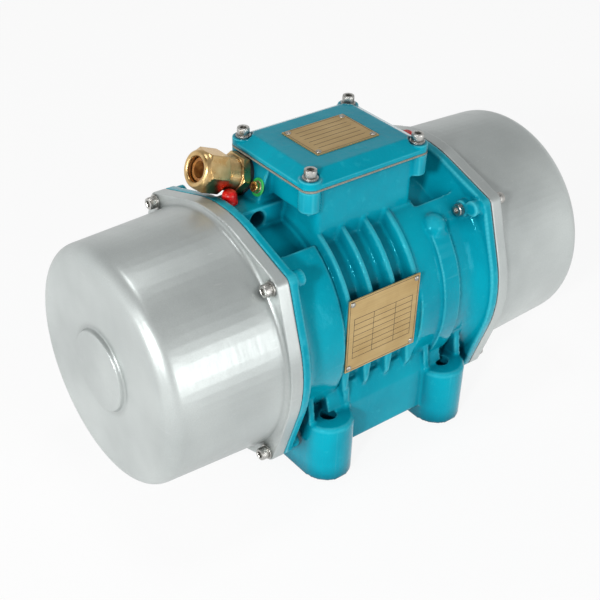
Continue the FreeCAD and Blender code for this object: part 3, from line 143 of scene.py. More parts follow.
def joined_copy(node, finish):
    """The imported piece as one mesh, its loose faces joined."""
    mesh = nodes[node].data.copy()
    mesh.name = node + "_finished"
    sheet = bmesh.new()
    sheet.from_mesh(mesh)
    bmesh.ops.remove_doubles(sheet, verts=sheet.verts, dist=1e-6)
    sheet.to_mesh(mesh)
    sheet.free()
    mesh.materials.clear()
    mesh.materials.append(finish)
    mesh.shade_smooth()
    piece = bpy.data.objects.new(mesh.name, mesh)
    bpy.context.scene.collection.objects.link(piece)
    return piece


def take_over(piece, node):
    """The finished piece stands in for its node, on the same body."""
    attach(piece, nodes[node]["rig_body"])
    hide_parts(node)


def dress(node, finish, sharp=32, rounding=0.0):
    """A machined piece: smooth where it is round, with its edges eased."""
    piece = joined_copy(node, finish)
    piece.data.set_sharp_from_angle(angle=math.radians(sharp))
    if rounding:
        ease = piece.modifiers.new("eased_edges", "BEVEL")
        ease.width = rounding
        ease.segments = 2
        ease.limit_method = "ANGLE"
        ease.angle_limit = math.radians(sharp)
        ease.use_clamp_overlap = True
        ease.harden_normals = False
    evened = piece.modifiers.new("evened_shading", "WEIGHTED_NORMAL")
    evened.keep_sharp = True
    settle(piece)
    take_over(piece, node)


def settle(piece):
    """Turns a piece's modifiers into plain mesh."""
    view = bpy.context.evaluated_depsgraph_get()
    made = bpy.data.meshes.new_from_object(piece.evaluated_get(view))
    piece.modifiers.clear()
    old = piece.data
    piece.data = made
    bpy.data.meshes.remove(old)
    made.name = piece.name


def round_shoulder_boss(mesh):
    """The boss on the right shoulder as the sand leaves it: its flat top drawn in and a ball run into it."""
    root = Vector((0.058, 0.0, 0.108))
    out = Vector((0.0, -1.0, 1.0)).normalized()
    top_rise, boss_radius, drawn_in = 0.0955, 0.0125, 0.6
    ball_radius, ball_rise = 0.0118, 0.0865
    sheet = bmesh.new()
    sheet.from_mesh(mesh)
    for corner in sheet.verts:
        rise = (corner.co - root).dot(out)
        across = corner.co - root - out * rise
        if rise > top_rise and across.length < boss_radius:
            corner.co -= across * drawn_in
    bmesh.ops.create_icosphere(sheet, subdivisions=4, radius=ball_radius,
                               matrix=Matrix.Translation(root + out * ball_rise))
    sheet.to_mesh(mesh)
    sheet.free()


def cast_skin(node, finish, grain, faces, shape=None):
    """A casting or a pressing under its paint: every edge and corner rounded by about one grain."""
    piece = joined_copy(node, finish)
    if shape:
        shape(piece.data)
    skin = piece.modifiers.new("cast_skin", "REMESH")
    skin.mode = "VOXEL"
    skin.voxel_size = grain
    skin.use_smooth_shade = True
    relax = piece.modifiers.new("relaxed", "SMOOTH")
    relax.factor = 0.5
    relax.iterations = 2
    settle(piece)
    thinned = piece.modifiers.new("thinned", "DECIMATE")
    thinned.ratio = min(1.0, faces / (2 * len(piece.data.polygons)))
    settle(piece)
    piece.data.shade_smooth()
    take_over(piece, node)


enamel = casting_enamel()
cast_skin("motor_housing", enamel, grain=0.0012, faces=190000, shape=round_shoulder_boss)
cast_skin("terminal_box_lid", enamel, grain=0.0007, faces=90000)


# ---------------------------------------------------------------- weight covers
# Deep-drawn steel cans, one over the weights at each end, each welded into a flange with four lugs.
# They are sprayed with aluminium paint: fine bright flakes, a satin sheen and faint rub marks.

def aluminium_paint():
    """Silver paint on a pressed can: fine flakes, rub marks and a few scratches, with painted shade darkening
    the creases.
    """
    made, tree, shader, place = new_finish("sprayed_aluminium_paint")
    flakes = add(tree, "ShaderNodeTexNoise", {"Vector": place, "Scale": 1500.0, "Detail": 2.0})
    stretch = add(tree, "ShaderNodeMapping", {"Vector": place, "Scale": (60.0, 9.0, 9.0)})
    rubs = add(tree, "ShaderNodeTexNoise", {"Vector": stretch.outputs[0], "Scale": 6.0, "Detail": 5.0,
                                            "Roughness": 0.65})
    clouds = add(tree, "ShaderNodeTexNoise", {"Vector": place, "Scale": 9.0, "Detail": 3.0})
    dents = add(tree, "ShaderNodeTexNoise", {"Vector": place, "Scale": 26.0, "Detail": 2.0})
    scratch_map = add(tree, "ShaderNodeMapping", {"Vector": place, "Scale": (30.0, 14.0, 260.0),
                                                  "Rotation": (0.5, 0.9, 0.0)})
    scratches = add(tree, "ShaderNodeTexNoise", {"Vector": scratch_map.outputs[0], "Scale": 2.6,
                                                 "Detail": 2.0})
    creases = add(tree, "ShaderNodeAmbientOcclusion", {"Distance": 0.006}, samples=6)
    share = add(tree, "ShaderNodeMapRange", {"Value": clouds.outputs[0], "From Min": 0.3,
                                             "From Max": 0.7}).outputs[0]
    base = add(tree, "ShaderNodeMix", {0: share, 6: linear("#A9AFAE"), 7: linear("#CCD2D0")},
               data_type="RGBA").outputs[2]
    share = add(tree, "ShaderNodeMapRange", {"Value": flakes.outputs[0], "From Min": 0.35, "From Max": 0.65,
                                             "To Max": 0.14}).outputs[0]
    grain = add(tree, "ShaderNodeMix", {0: share, 6: base, 7: linear("#7D8280")},
                data_type="RGBA").outputs[2]
    share = add(tree, "ShaderNodeMapRange", {"Value": scratches.outputs[0], "From Min": 0.72,
                                             "From Max": 0.76, "To Max": 0.22}).outputs[0]
    marks = add(tree, "ShaderNodeMix", {0: share, 6: grain, 7: linear("#D8DAD8")},
                data_type="RGBA").outputs[2]
    # Painted shade: ambient occlusion darkens the creases and the end boss's ring towards a dark grey.
    share = add(tree, "ShaderNodeMapRange", {"Value": creases.outputs["AO"], "From Min": 0.50,
                                             "From Max": 0.97, "To Min": 0.85, "To Max": 0.0}).outputs[0]
    painted_crease_shade = add(tree, "ShaderNodeMix", {0: share, 6: marks, 7: linear("#565B59")},
               data_type="RGBA").outputs[2]
    tree.links.new(painted_crease_shade, shader.inputs["Base Color"])
    gloss = add(tree, "ShaderNodeMapRange", {"Value": rubs.outputs[0], "From Min": 0.3, "From Max": 0.7,
                                             "To Min": 0.33, "To Max": 0.42}).outputs[0]
    tree.links.new(gloss, shader.inputs["Roughness"])
    shader.inputs["Metallic"].default_value = 0.55
    soft = add(tree, "ShaderNodeBevel", {"Radius": 0.0007}, samples=4)
    waves = add(tree, "ShaderNodeBump", {"Height": dents.outputs[0], "Strength": 0.10, "Distance": 0.0012,
                                         "Normal": soft.outputs[0]})
    texture = add(tree, "ShaderNodeBump", {"Height": flakes.outputs[0], "Strength": 0.05, "Distance": 0.0002,
                                           "Normal": waves.outputs[0]})
    tree.links.new(texture.outputs[0], shader.inputs["Normal"])
    return made


silver = aluminium_paint()
for side in ("left", "right"):
    cast_skin("weight_cover_" + side, silver, grain=0.0007, faces=180000)


# ---------------------------------------------------------------- screws, washers and rivets
# Stainless M6 socket screws hold the covers and the lid, each on a plain washer.
# The heads are knurled, with a pressed hexagon socket; the drive rivets of the plates are domed aluminium.

def stainless_steel():
    """Turned stainless, with the fine rings of the tool."""
    made, tree, shader, place = new_finish("turned_stainless_steel")
    rings = add(tree, "ShaderNodeTexNoise", {"Vector": place, "Scale": 700.0, "Detail": 3.0})
    clouds = add(tree, "ShaderNodeTexNoise", {"Vector": place, "Scale": 90.0, "Detail": 2.0})
    share = add(tree, "ShaderNodeMapRange", {"Value": clouds.outputs[0], "From Min": 0.3,
                                             "From Max": 0.7}).outputs[0]
    tone = add(tree, "ShaderNodeMix", {0: share, 6: linear("#A2A19D"), 7: linear("#C2C1BD")},
               data_type="RGBA").outputs[2]
    tree.links.new(tone, shader.inputs["Base Color"])
    gloss = add(tree, "ShaderNodeMapRange", {"Value": rings.outputs[0], "From Min": 0.3, "From Max": 0.7,
                                             "To Min": 0.22, "To Max": 0.4}).outputs[0]
    tree.links.new(gloss, shader.inputs["Roughness"])
    shader.inputs["Metallic"].default_value = 1.0
    bump = add(tree, "ShaderNodeBump", {"Height": rings.outputs[0], "Strength": 0.1, "Distance": 0.0001})
    tree.links.new(bump.outputs[0], shader.inputs["Normal"])
    return made


def lathe_rings(name, rings, steps):
    """A closed turned piece along Z from rings of (radius at an angle, height); both ends are capped."""
    sheet = bmesh.new()
    rows = []
    for radius, height in rings:
        rows.append([sheet.verts.new((radius(a) * math.cos(a), radius(a) * math.sin(a), height))
                     for a in (2 * math.pi * i / steps for i in range(steps))])
    for low, high in zip(rows, rows[1:]):
        for i in range(steps):
            j = (i + 1) % steps
            sheet.faces.new((low[i], low[j], high[j], high[i]))
    for row, turn in ((rows[0], True), (rows[-1], False)):
        middle = sheet.verts.new((0, 0, row[0].co.z))
        for i in range(steps):
            j = (i + 1) % steps
            sheet.faces.new((row[j], row[i], middle) if turn else (row[i], row[j], middle))
    bmesh.ops.recalc_face_normals(sheet, faces=sheet.faces)
    mesh = bpy.data.meshes.new(name)
    sheet.to_mesh(mesh)
    sheet.free()
    mesh.shade_smooth()
    mesh.set_sharp_from_angle(angle=math.radians(35))
    return mesh


def socket_screw(name, head, height, socket, thread, length):
    """A screw with its head's top at 0 and its shank below."""
    def plain(radius):
        return lambda angle: radius

    def knurl(radius):
        return lambda angle: radius + 0.00006 * math.cos(32 * angle)

    def hexagon(flats):
        return lambda angle: flats / 2 / math.cos((angle + math.pi / 6) % (math.pi / 3) - math.pi / 6)

    edge = head * 0.07
    return lathe_rings(name, [
        (plain(thread / 2 - 0.0005), -length), (plain(thread / 2), -length + 0.0005),
        (plain(thread / 2), -height), (plain(head / 2 - 0.0003), -height),
        (knurl(head / 2 - 0.00015), -height + 0.0003),
        (knurl(head / 2 - 0.00015), -edge * 1.6), (plain(head / 2 - 0.0003), -edge),
        (plain(head / 2 - edge * 0.5), -edge * 0.3), (plain(head / 2 - edge), 0.0),
        (hexagon(socket + 0.0006), 0.0), (hexagon(socket), -0.0004), (hexagon(socket), -height * 0.5),
        (plain(socket * 0.3), -height * 0.58)], 192)


def new_pattern(name, inputs, result):
    """A node group that takes a piece, named inputs and a finish."""
    tree = bpy.data.node_groups.new(name, "GeometryNodeTree")
    for label, kind in (("Piece", "Geometry"), *inputs, ("Finish", "Material")):
        tree.interface.new_socket(label, in_out="INPUT", socket_type="NodeSocket" + kind)
    tree.interface.new_socket(result, in_out="OUTPUT", socket_type="NodeSocketGeometry")
    return tree, tree.nodes.new("NodeGroupInput").outputs


def end_pattern(tree, copies, finish):
    """The copies become real geometry with their finish."""
    real = add(tree, "GeometryNodeRealizeInstances", {"Geometry": copies})
    painted = add(tree, "GeometryNodeSetMaterial", {"Geometry": real.outputs[0], "Material": finish})
    out = tree.nodes.new("NodeGroupOutput")
    tree.links.new(painted.outputs[0], out.inputs[0])


def grow(piece, tree, values):
    """Runs a pattern on a piece with its inputs set by name, and keeps what it gives as plain mesh."""
    pattern = piece.modifiers.new("pattern", "NODES")
    pattern.node_group = tree
    keys = {item.name: item.identifier for item in tree.interface.items_tree if item.in_out == "INPUT"}
    for name, value in values.items():
        pattern[keys[name]] = value
    settle(piece)


def corner_pattern():
    """Puts the piece at the four corners of a rectangle, each turned by its own amount."""
    tree, given = new_pattern("four_at_the_corners", (
        ("Pitch across", "Float"), ("Pitch along", "Float"), ("Turn", "Float")), "Pieces")
    corners = add(tree, "GeometryNodeMeshGrid", {"Size X": given["Pitch across"],
                                                 "Size Y": given["Pitch along"],
                                                 "Vertices X": 2, "Vertices Y": 2})
    points = add(tree, "GeometryNodeMeshToPoints", {"Mesh": corners.outputs["Mesh"]})
    turn = add(tree, "FunctionNodeRandomValue", {3: given["Turn"], "Seed": 7}, data_type="FLOAT")
    angle = add(tree, "ShaderNodeCombineXYZ", {"Z": turn.outputs[1]})
    copies = add(tree, "GeometryNodeInstanceOnPoints", {"Points": points.outputs[0],
                                                        "Instance": given["Piece"],
                                                        "Rotation": angle.outputs[0]})
    end_pattern(tree, copies.outputs[0], given["Finish"])
    return tree


def set_at_corners(name, mesh, across, along, turn, finish, place, node):
    """Four like fasteners in a rectangle, in place of one node's."""
    piece = bpy.data.objects.new(name, mesh)
    bpy.context.scene.collection.objects.link(piece)
    grow(piece, corners_tree, {"Pitch across": across, "Pitch along": along, "Turn": turn, "Finish": finish})
    piece.data.transform(place)
    take_over(piece, node)


steel = stainless_steel()
corners_tree = corner_pattern()
head, head_height, hexagon_flats, m6 = 0.0100, 0.0060, 0.0050, 0.0060
low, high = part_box("lid_screws")
middle, pitch = (low + high) / 2, high - low
screw = socket_screw("lid_screw", head, head_height, hexagon_flats, m6, pitch.z)
set_at_corners("lid_screw_set", screw, pitch.x - head, pitch.y - head, 1.9, steel,
               Matrix.Translation((middle.x, middle.y, high.z)), "lid_screws")
for side, facing in (("left", -1), ("right", 1)):
    low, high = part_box("cover_screws_" + side)
    middle, pitch = (low + high) / 2, high - low
    screw = socket_screw("cover_screw", head, head_height, hexagon_flats, m6, pitch.x)
    outwards = Matrix.Rotation(math.radians(90 * facing), 4, "Y")
    set_at_corners("cover_screw_set_" + side, screw, pitch.z - head, pitch.y - head, 1.7, steel,
                   Matrix.Translation((high.x if facing > 0 else low.x, middle.y, middle.z)) @ outwards,
                   "cover_screws_" + side)
for node in ("cover_washers_left", "cover_washers_right", "lid_washers", "box_earth_washer",
             "flange_earth_screw"):
    dress(node, steel, rounding=0.0002)


def fine_grain(name, scale, detail, tones, gloss, low=0.3, high=0.7, most=1.0, bump=None, metallic=0.0):
    """A finish with one fine pattern, so many to the metre: it runs between two tones and two
    roughnesses, and may stand up a little, by (strength, height)."""
    made, tree, shader, place = new_finish(name)
    grain = add(tree, "ShaderNodeTexNoise", {"Vector": place, "Scale": scale, "Detail": detail}).outputs[0]
    share = add(tree, "ShaderNodeMapRange", {"Value": grain, "From Min": low, "From Max": high,
                                             "To Max": most})
    tone = add(tree, "ShaderNodeMix", {0: share.outputs[0], 6: linear(tones[0]), 7: linear(tones[1])},
               data_type="RGBA")
    shine = add(tree, "ShaderNodeMapRange", {"Value": grain, "From Min": 0.3, "From Max": 0.7,
                                             "To Min": gloss[0], "To Max": gloss[1]})
    tree.links.new(tone.outputs[2], shader.inputs["Base Color"])
    tree.links.new(shine.outputs[0], shader.inputs["Roughness"])
    shader.inputs["Metallic"].default_value = metallic
    if bump:
        raised = add(tree, "ShaderNodeBump", {"Height": grain, "Strength": bump[0], "Distance": bump[1]})
        tree.links.new(raised.outputs[0], shader.inputs["Normal"])
    return made


def rivet_aluminium():
    """Drawn aluminium, matt from the hammer."""
    return fine_grain("drive_rivet_aluminium", 500.0, 2.0, ("#8C8A84", "#B5B3AC"), (0.3, 0.5),
                      low=0.35, high=0.65, bump=(0.3, 0.0002), metallic=1.0)


def drive_rivet(name, head, height, shank, length):
    dome = [((lambda angle, r=head / 2 * math.cos(t): r), height * math.sin(t))
            for t in (math.radians(10 * k) for k in range(9))]
    return lathe_rings(name, [(lambda angle: shank / 2, -length), (lambda angle: shank / 2, 0.0)] + dome, 40)


rivet_metal = rivet_aluminium()
rivet_head, rivet_rise, rivet_shank, rivet_length = 0.0046, 0.0013, 0.002, 0.005
low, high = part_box("name_plate_rivets")
middle, pitch = (low + high) / 2, high - low
rivet = drive_rivet("name_rivet", rivet_head, rivet_rise, rivet_shank, rivet_length)
set_at_corners("name_plate_rivet_set", rivet, pitch.x - rivet_head, pitch.z - rivet_head, 3.0, rivet_metal,
               Matrix.Translation((middle.x, low.y + rivet_rise, middle.z))
               @ Matrix.Rotation(math.radians(90), 4, "X"), "name_plate_rivets")
low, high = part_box("lid_plate_rivets")
middle, pitch = (low + high) / 2, high - low
rivet = drive_rivet("lid_rivet", rivet_head, rivet_rise, rivet_shank, rivet_length)
set_at_corners("lid_plate_rivet_set", rivet, pitch.x - rivet_head, pitch.y - rivet_head, 3.0, rivet_metal,
               Matrix.Translation((middle.x, middle.y, high.z - rivet_rise)),
               "lid_plate_rivets")


# ---------------------------------------------------------------- plates
# Two thin plates of brass-coloured anodised aluminium: one across the fins, one on the lid.
# Both are blank forms: a printed border and empty ruled lines.

def anodised_plate():
    """Brushed sheet under a gold anodised layer."""
    made, tree, shader, place = new_finish("gold_anodised_plate")
    brush_map = add(tree, "ShaderNodeMapping", {"Vector": place, "Scale": (12.0, 900.0, 900.0)})
    brushed = add(tree, "ShaderNodeTexNoise", {"Vector": brush_map.outputs[0], "Scale": 1.0, "Detail": 3.0})
    clouds = add(tree, "ShaderNodeTexNoise", {"Vector": place, "Scale": 40.0, "Detail": 3.0})
    share = add(tree, "ShaderNodeMapRange", {"Value": clouds.outputs[0], "From Min": 0.3,
                                             "From Max": 0.7}).outputs[0]
    tone = add(tree, "ShaderNodeMix", {0: share, 6: linear("#B59762"), 7: linear("#C9AD79")},
               data_type="RGBA").outputs[2]
    share = add(tree, "ShaderNodeMapRange", {"Value": brushed.outputs[0], "From Min": 0.35,
                                             "From Max": 0.65, "To Max": 0.25}).outputs[0]
    lines = add(tree, "ShaderNodeMix", {0: share, 6: tone, 7: linear("#9C8250")},
                data_type="RGBA").outputs[2]
    tree.links.new(lines, shader.inputs["Base Color"])
    gloss = add(tree, "ShaderNodeMapRange", {"Value": brushed.outputs[0], "From Min": 0.3, "From Max": 0.7,
                                             "To Min": 0.34, "To Max": 0.48}).outputs[0]
    tree.links.new(gloss, shader.inputs["Roughness"])
    shader.inputs["Metallic"].default_value = 0.55
    bump = add(tree, "ShaderNodeBump", {"Height": brushed.outputs[0], "Strength": 0.12, "Distance": 0.0001})
    tree.links.new(bump.outputs[0], shader.inputs["Normal"])
    return made


def printing_ink():
    """Black screen ink, slightly rubbed."""
    return fine_grain("black_screen_ink", 800.0, 3.0, ("#2B2419", "#6E5B38"), (0.45, 0.65),
                      low=0.5, high=0.75, most=0.5)


def ruled_form(name, lines, place):
    """Thin printed lines, each (left, right, low, high) on the plate's own flat."""
    sheet = bmesh.new()
    for x0, x1, y0, y1 in lines:
        box = bmesh.ops.create_cube(sheet, size=1.0)["verts"]
        for corner in box:
            corner.co = Vector((x0 if corner.co.x < 0 else x1, y0 if corner.co.y < 0 else y1,
                                -0.00002 if corner.co.z < 0 else 0.00005))
    mesh = bpy.data.meshes.new(name)
    sheet.to_mesh(mesh)
    sheet.free()
    mesh.transform(place)
    mesh.materials.append(ink)
    piece = bpy.data.objects.new(name, mesh)
    bpy.context.scene.collection.objects.link(piece)
    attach(piece, "housing")
    return piece


def border(half_x, half_y, wide):
    return [(-half_x, half_x, -half_y, -half_y + wide), (-half_x, half_x, half_y - wide, half_y),
            (-half_x, -half_x + wide, -half_y, half_y), (half_x - wide, half_x, -half_y, half_y)]


gold = anodised_plate()
ink = printing_ink()
dress("name_plate", gold)
dress("lid_plate", gold)
rule = 0.0004
low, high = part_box("name_plate")
middle, half = (low + high) / 2, (high - low) / 2
left, right = -half.x + 0.006, half.x - 0.006
rows = [half.z - 0.018 - 0.0052 * row for row in range(8)]
form = border(half.x - 0.0012, half.z - 0.0012, rule) + [(left, right, y, y + rule) for y in rows]
form += [(x, x + rule, rows[-1], rows[0] + rule) for x in (left, -0.010, 0.012, right - rule)]
ruled_form("name_plate_rules", form, Matrix.Translation((middle.x, low.y, middle.z))
           @ Matrix.Rotation(math.radians(90), 4, "X"))
low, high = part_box("lid_plate")
middle, half = (low + high) / 2, (high - low) / 2
rows = [half.y - 0.008 - 0.0056 * row for row in range(6)]
form = border(half.x - 0.001, half.y - 0.001, rule)
form += [(-half.x + 0.007, half.x - 0.007, y, y + rule) for y in rows]
ruled_form("lid_plate_rules", form, Matrix.Translation((middle.x, middle.y, high.z)))


# ---------------------------------------------------------------- cable gland and brass parts
# A turned and milled brass M25 gland: a hexagon body, a rounded pressure nut and a rubber seal inside.
# The bare brass is bright on its edges and a little brown in the turned grooves, as tarnish deepened with
# painted shade.

def turned_brass():
    """Brass from the lathe, handled and a little tarnished."""
    made, tree, shader, place = new_finish("turned_brass")
    tarnish = add(tree, "ShaderNodeTexNoise", {"Vector": place, "Scale": 120.0, "Detail": 4.0})
    tool = add(tree, "ShaderNodeTexNoise", {"Vector": place, "Scale": 900.0, "Detail": 2.0})
    grooves = add(tree, "ShaderNodeAmbientOcclusion", {"Distance": 0.004}, samples=6)
    share = add(tree, "ShaderNodeMapRange", {"Value": tarnish.outputs[0], "From Min": 0.3,
                                             "From Max": 0.7}).outputs[0]
    tone = add(tree, "ShaderNodeMix", {0: share, 6: linear("#BC975F"), 7: linear("#DABD8A")},
               data_type="RGBA").outputs[2]
    # Tarnish and painted shade: ambient occlusion darkens the turned grooves towards a deep brown.
    share = add(tree, "ShaderNodeMapRange", {"Value": grooves.outputs["AO"], "From Min": 0.3,
                                             "From Max": 0.9, "To Min": 0.7, "To Max": 0.0}).outputs[0]
    groove_tarnish_and_shade = add(tree, "ShaderNodeMix", {0: share, 6: tone, 7: linear("#4E3517")},
               data_type="RGBA").outputs[2]
    tree.links.new(groove_tarnish_and_shade, shader.inputs["Base Color"])
    gloss = add(tree, "ShaderNodeMapRange", {"Value": tarnish.outputs[0], "From Min": 0.3, "From Max": 0.7,
                                             "To Min": 0.22, "To Max": 0.40}).outputs[0]
    tree.links.new(gloss, shader.inputs["Roughness"])
    shader.inputs["Metallic"].default_value = 1.0
    soft = add(tree, "ShaderNodeBevel", {"Radius": 0.0004}, samples=4)
    bump = add(tree, "ShaderNodeBump", {"Height": tool.outputs[0], "Strength": 0.1, "Distance": 0.0001,
                                        "Normal": soft.outputs[0]})
    tree.links.new(bump.outputs[0], shader.inputs["Normal"])
    return made


def moulded_rubber():
    """Black nitrile, matt and dusty."""
    return fine_grain("black_nitrile_rubber", 300.0, 3.0, ("#17181A", "#33343A"), (0.55, 0.8),
                      low=0.4, most=0.6, bump=(0.2, 0.0002))


def tan_rubber():
    """Natural rubber, brown and a little waxy, as the gland's sealing sleeve is moulded."""
    return fine_grain("tan_natural_rubber", 280.0, 3.0, ("#7E4B20", "#B07A3E"), (0.35, 0.55),
                      low=0.35, bump=(0.2, 0.0002))


brass = turned_brass()
rubber = moulded_rubber()
dress("gland_body", brass, sharp=25)
dress("gland_nut", brass, sharp=25)
for node in ("gland_washer", "cover_seal_left", "cover_seal_right"):
    dress(node, rubber)
dress("gland_seal", tan_rubber())
dress("box_earth_screw", brass, rounding=0.0002)


def thread_ridges():
    """Rings of a given pitch along Z, as the thread that shows between the gland's two parts."""
    tree, given = new_pattern("thread_ridges", (
        ("Pitch", "Float"), ("Radius", "Float"), ("Depth", "Float"), ("Count", "Int")), "Ridges")
    step = add(tree, "ShaderNodeCombineXYZ", {"Z": given["Pitch"]})
    row = add(tree, "GeometryNodeMeshLine", {"Count": given["Count"], "Offset": step.outputs[0]})
    loop = add(tree, "GeometryNodeCurvePrimitiveCircle", {"Radius": given["Radius"], "Resolution": 96})
    wire = add(tree, "GeometryNodeCurvePrimitiveCircle", {"Radius": given["Depth"], "Resolution": 6})
    ridge = add(tree, "GeometryNodeCurveToMesh", {"Curve": loop.outputs[0], "Profile Curve": wire.outputs[0]})
    copies = add(tree, "GeometryNodeInstanceOnPoints", {"Points": row.outputs[0],
                                                        "Instance": ridge.outputs[0]})
    end_pattern(tree, copies.outputs[0], given["Finish"])
    return tree


# The neck's thread: its place comes from the gland's own mount, which gives its axis and middle.
entry = next(mount for mount in frame["record"]["mounts"] if mount["name"] == "cable_entry")
gland_axis = Vector(entry["axis"]).normalized()
gland_turn = gland_axis.to_track_quat("Z", "Y").to_matrix().to_4x4()
middle_to_first_ridge = 0.0218
ridges = bpy.data.objects.new("gland_thread", bpy.data.meshes.new("gland_thread"))
bpy.context.scene.collection.objects.link(ridges)
grow(ridges, thread_ridges(), {"Pitch": 0.0015, "Radius": 0.0129, "Depth": 0.0007, "Count": 8,
                               "Finish": brass})
first_ridge = Vector(entry["pos_m"]) - gland_axis * middle_to_first_ridge
ridges.data.transform(Matrix.Translation(first_ridge) @ gland_turn)
ridges.data.shade_smooth()
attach(ridges, "housing")


# ---------------------------------------------------------------- gasket, grease caps and earth marks
# A cut cork-and-rubber gasket seals the lid; red polyethylene caps keep the grease nipples clean.
# A green disc under the box's earth screw marks it.

def gasket_sheet():
    """Ground cork bound in rubber, dry and matt."""
    made, tree, shader, place = new_finish("cork_rubber_gasket")
    cork = add(tree, "ShaderNodeTexVoronoi", {"Vector": place, "Scale": 700.0})
    tone = add(tree, "ShaderNodeMix", {0: cork.outputs["Distance"], 6: linear("#77766A"),
                                       7: linear("#97958A")}, data_type="RGBA").outputs[2]
    tree.links.new(tone, shader.inputs["Base Color"])
    gloss = add(tree, "ShaderNodeMapRange", {"Value": cork.outputs["Distance"], "To Min": 0.7,
                                             "To Max": 0.9}).outputs[0]
    tree.links.new(gloss, shader.inputs["Roughness"])
    bump = add(tree, "ShaderNodeBump", {"Height": cork.outputs["Distance"], "Strength": 0.3,
                                        "Distance": 0.0002})
    tree.links.new(bump.outputs[0], shader.inputs["Normal"])
    return made


def red_polyethylene():
    """Soft moulded plastic with a waxy gloss and a little light passing through."""
    made = fine_grain("red_polyethylene", 260.0, 2.0, ("#B80A0A", "#DE1B16"), (0.2, 0.34), bump=(0.1, 0.0002))
    shader = made.node_tree.nodes["Principled BSDF"]
    shader.inputs["Subsurface Weight"].default_value = 0.08
    shader.inputs["Subsurface Scale"].default_value = 0.002
    return made


def green_mark():
    """Brushed-on signal green, a little faded."""
    return fine_grain("green_earth_mark", 350.0, 2.0, ("#0E8A3C", "#2FB558"), (0.3, 0.45))


dress("lid_gasket", gasket_sheet())
cap_plastic = red_polyethylene()
for side in ("left", "right"):
    dress("grease_cap_" + side, cap_plastic, sharp=40, rounding=0.0003)
low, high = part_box("box_earth_washer")
radius, under_washer = 0.0072, 0.00058
disc = bpy.data.objects.new("box_earth_mark", lathe_rings("box_earth_mark", [
    (lambda angle: radius, 0.0), (lambda angle: radius, 0.0002),
    (lambda angle: radius - 0.0002, 0.0003)], 64))
disc.data.materials.append(green_mark())
bpy.context.scene.collection.objects.link(disc)
disc.data.transform(Matrix.Translation((low + high) / 2 - gland_axis * under_washer) @ gland_turn)
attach(disc, "housing")


# ---------------------------------------------------------------- shaft, bearings and shields
# Ground shaft and bearing steel, machined grey iron shields and caps, pressed brass cages.
# All of it runs inside the casting and the covers.

def ground_steel():
    """Hardened steel, with the fine marks of the grinding wheel."""
    made, tree, shader, place = new_finish("ground_bearing_steel")
    grind_map = add(tree, "ShaderNodeMapping", {"Vector": place, "Scale": (1500.0, 30.0, 30.0)})
    grind = add(tree, "ShaderNodeTexNoise", {"Vector": grind_map.outputs[0], "Scale": 1.0, "Detail": 2.0})
    share = add(tree, "ShaderNodeMapRange", {"Value": grind.outputs[0], "From Min": 0.3,
                                             "From Max": 0.7}).outputs[0]
    tone = add(tree, "ShaderNodeMix", {0: share, 6: linear("#9A9B9D"), 7: linear("#BDBEC0")},
               data_type="RGBA").outputs[2]
    tree.links.new(tone, shader.inputs["Base Color"])
    gloss = add(tree, "ShaderNodeMapRange", {"Value": grind.outputs[0], "From Min": 0.3, "From Max": 0.7,
                                             "To Min": 0.16, "To Max": 0.28}).outputs[0]
    tree.links.new(gloss, shader.inputs["Roughness"])
    shader.inputs["Metallic"].default_value = 1.0
    bump = add(tree, "ShaderNodeBump", {"Height": grind.outputs[0], "Strength": 0.08, "Distance": 0.0001})
    tree.links.new(bump.outputs[0], shader.inputs["Normal"])
    return made


def machined_iron():
    """Grey iron as the lathe leaves it, with fine open pores."""
    return fine_grain("machined_grey_iron", 500.0, 4.0, ("#4A4B4D", "#6E6F71"), (0.38, 0.55),
                      low=0.35, high=0.65, bump=(0.2, 0.0002), metallic=0.9)


def paint(finish, *names):
    """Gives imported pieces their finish, and leaves their meshes as they are."""
    for name in names:
        for slot in nodes[name].material_slots:
            slot.material = finish


ground, iron = ground_steel(), machined_iron()
paint(ground, "rotor_shaft", "weight_keys", "retaining_rings")
paint(brass, "terminal_studs")
paint(steel, "fixed_weight_screws")
for side in ("_left", "_right"):
    paint(ground, "bearing_outer_ring" + side, "bearing_inner_ring" + side, "bearing_rollers" + side,
          "labyrinth_ring" + side, "grease_nipple" + side)
    paint(iron, "bearing_shield" + side, "bearing_cap" + side)
    paint(brass, "bearing_cage" + side)
    paint(steel, "shield_screws" + side, "adjustable_weight_screw" + side)


# ---------------------------------------------------------------- stator, rotor and weights
# Stacked electrical sheet, varnished copper, and eccentric weights flame-cut from thick steel plate.

def stacked_sheet():
    """Laminations 0.5 mm thick, drawn 1.5 mm apart so that they show."""
    made, tree, shader, place = new_finish("stacked_electrical_sheet")
    stack = add(tree, "ShaderNodeTexWave", {"Vector": place, "Scale": 105.0, "Distortion": 0.1},
                wave_type="BANDS", bands_direction="X")
    tone = add(tree, "ShaderNodeMix", {0: stack.outputs["Fac"], 6: linear("#3A3F47"), 7: linear("#5C626B")},
               data_type="RGBA").outputs[2]
    tree.links.new(tone, shader.inputs["Base Color"])
    gloss = add(tree, "ShaderNodeMapRange", {"Value": stack.outputs["Fac"], "To Min": 0.55,
                                             "To Max": 0.35}).outputs[0]
    tree.links.new(gloss, shader.inputs["Roughness"])
    shader.inputs["Metallic"].default_value = 0.8
    bump = add(tree, "ShaderNodeBump", {"Height": stack.outputs["Fac"], "Strength": 0.4, "Distance": 0.0003})
    tree.links.new(bump.outputs[0], shader.inputs["Normal"])
    return made


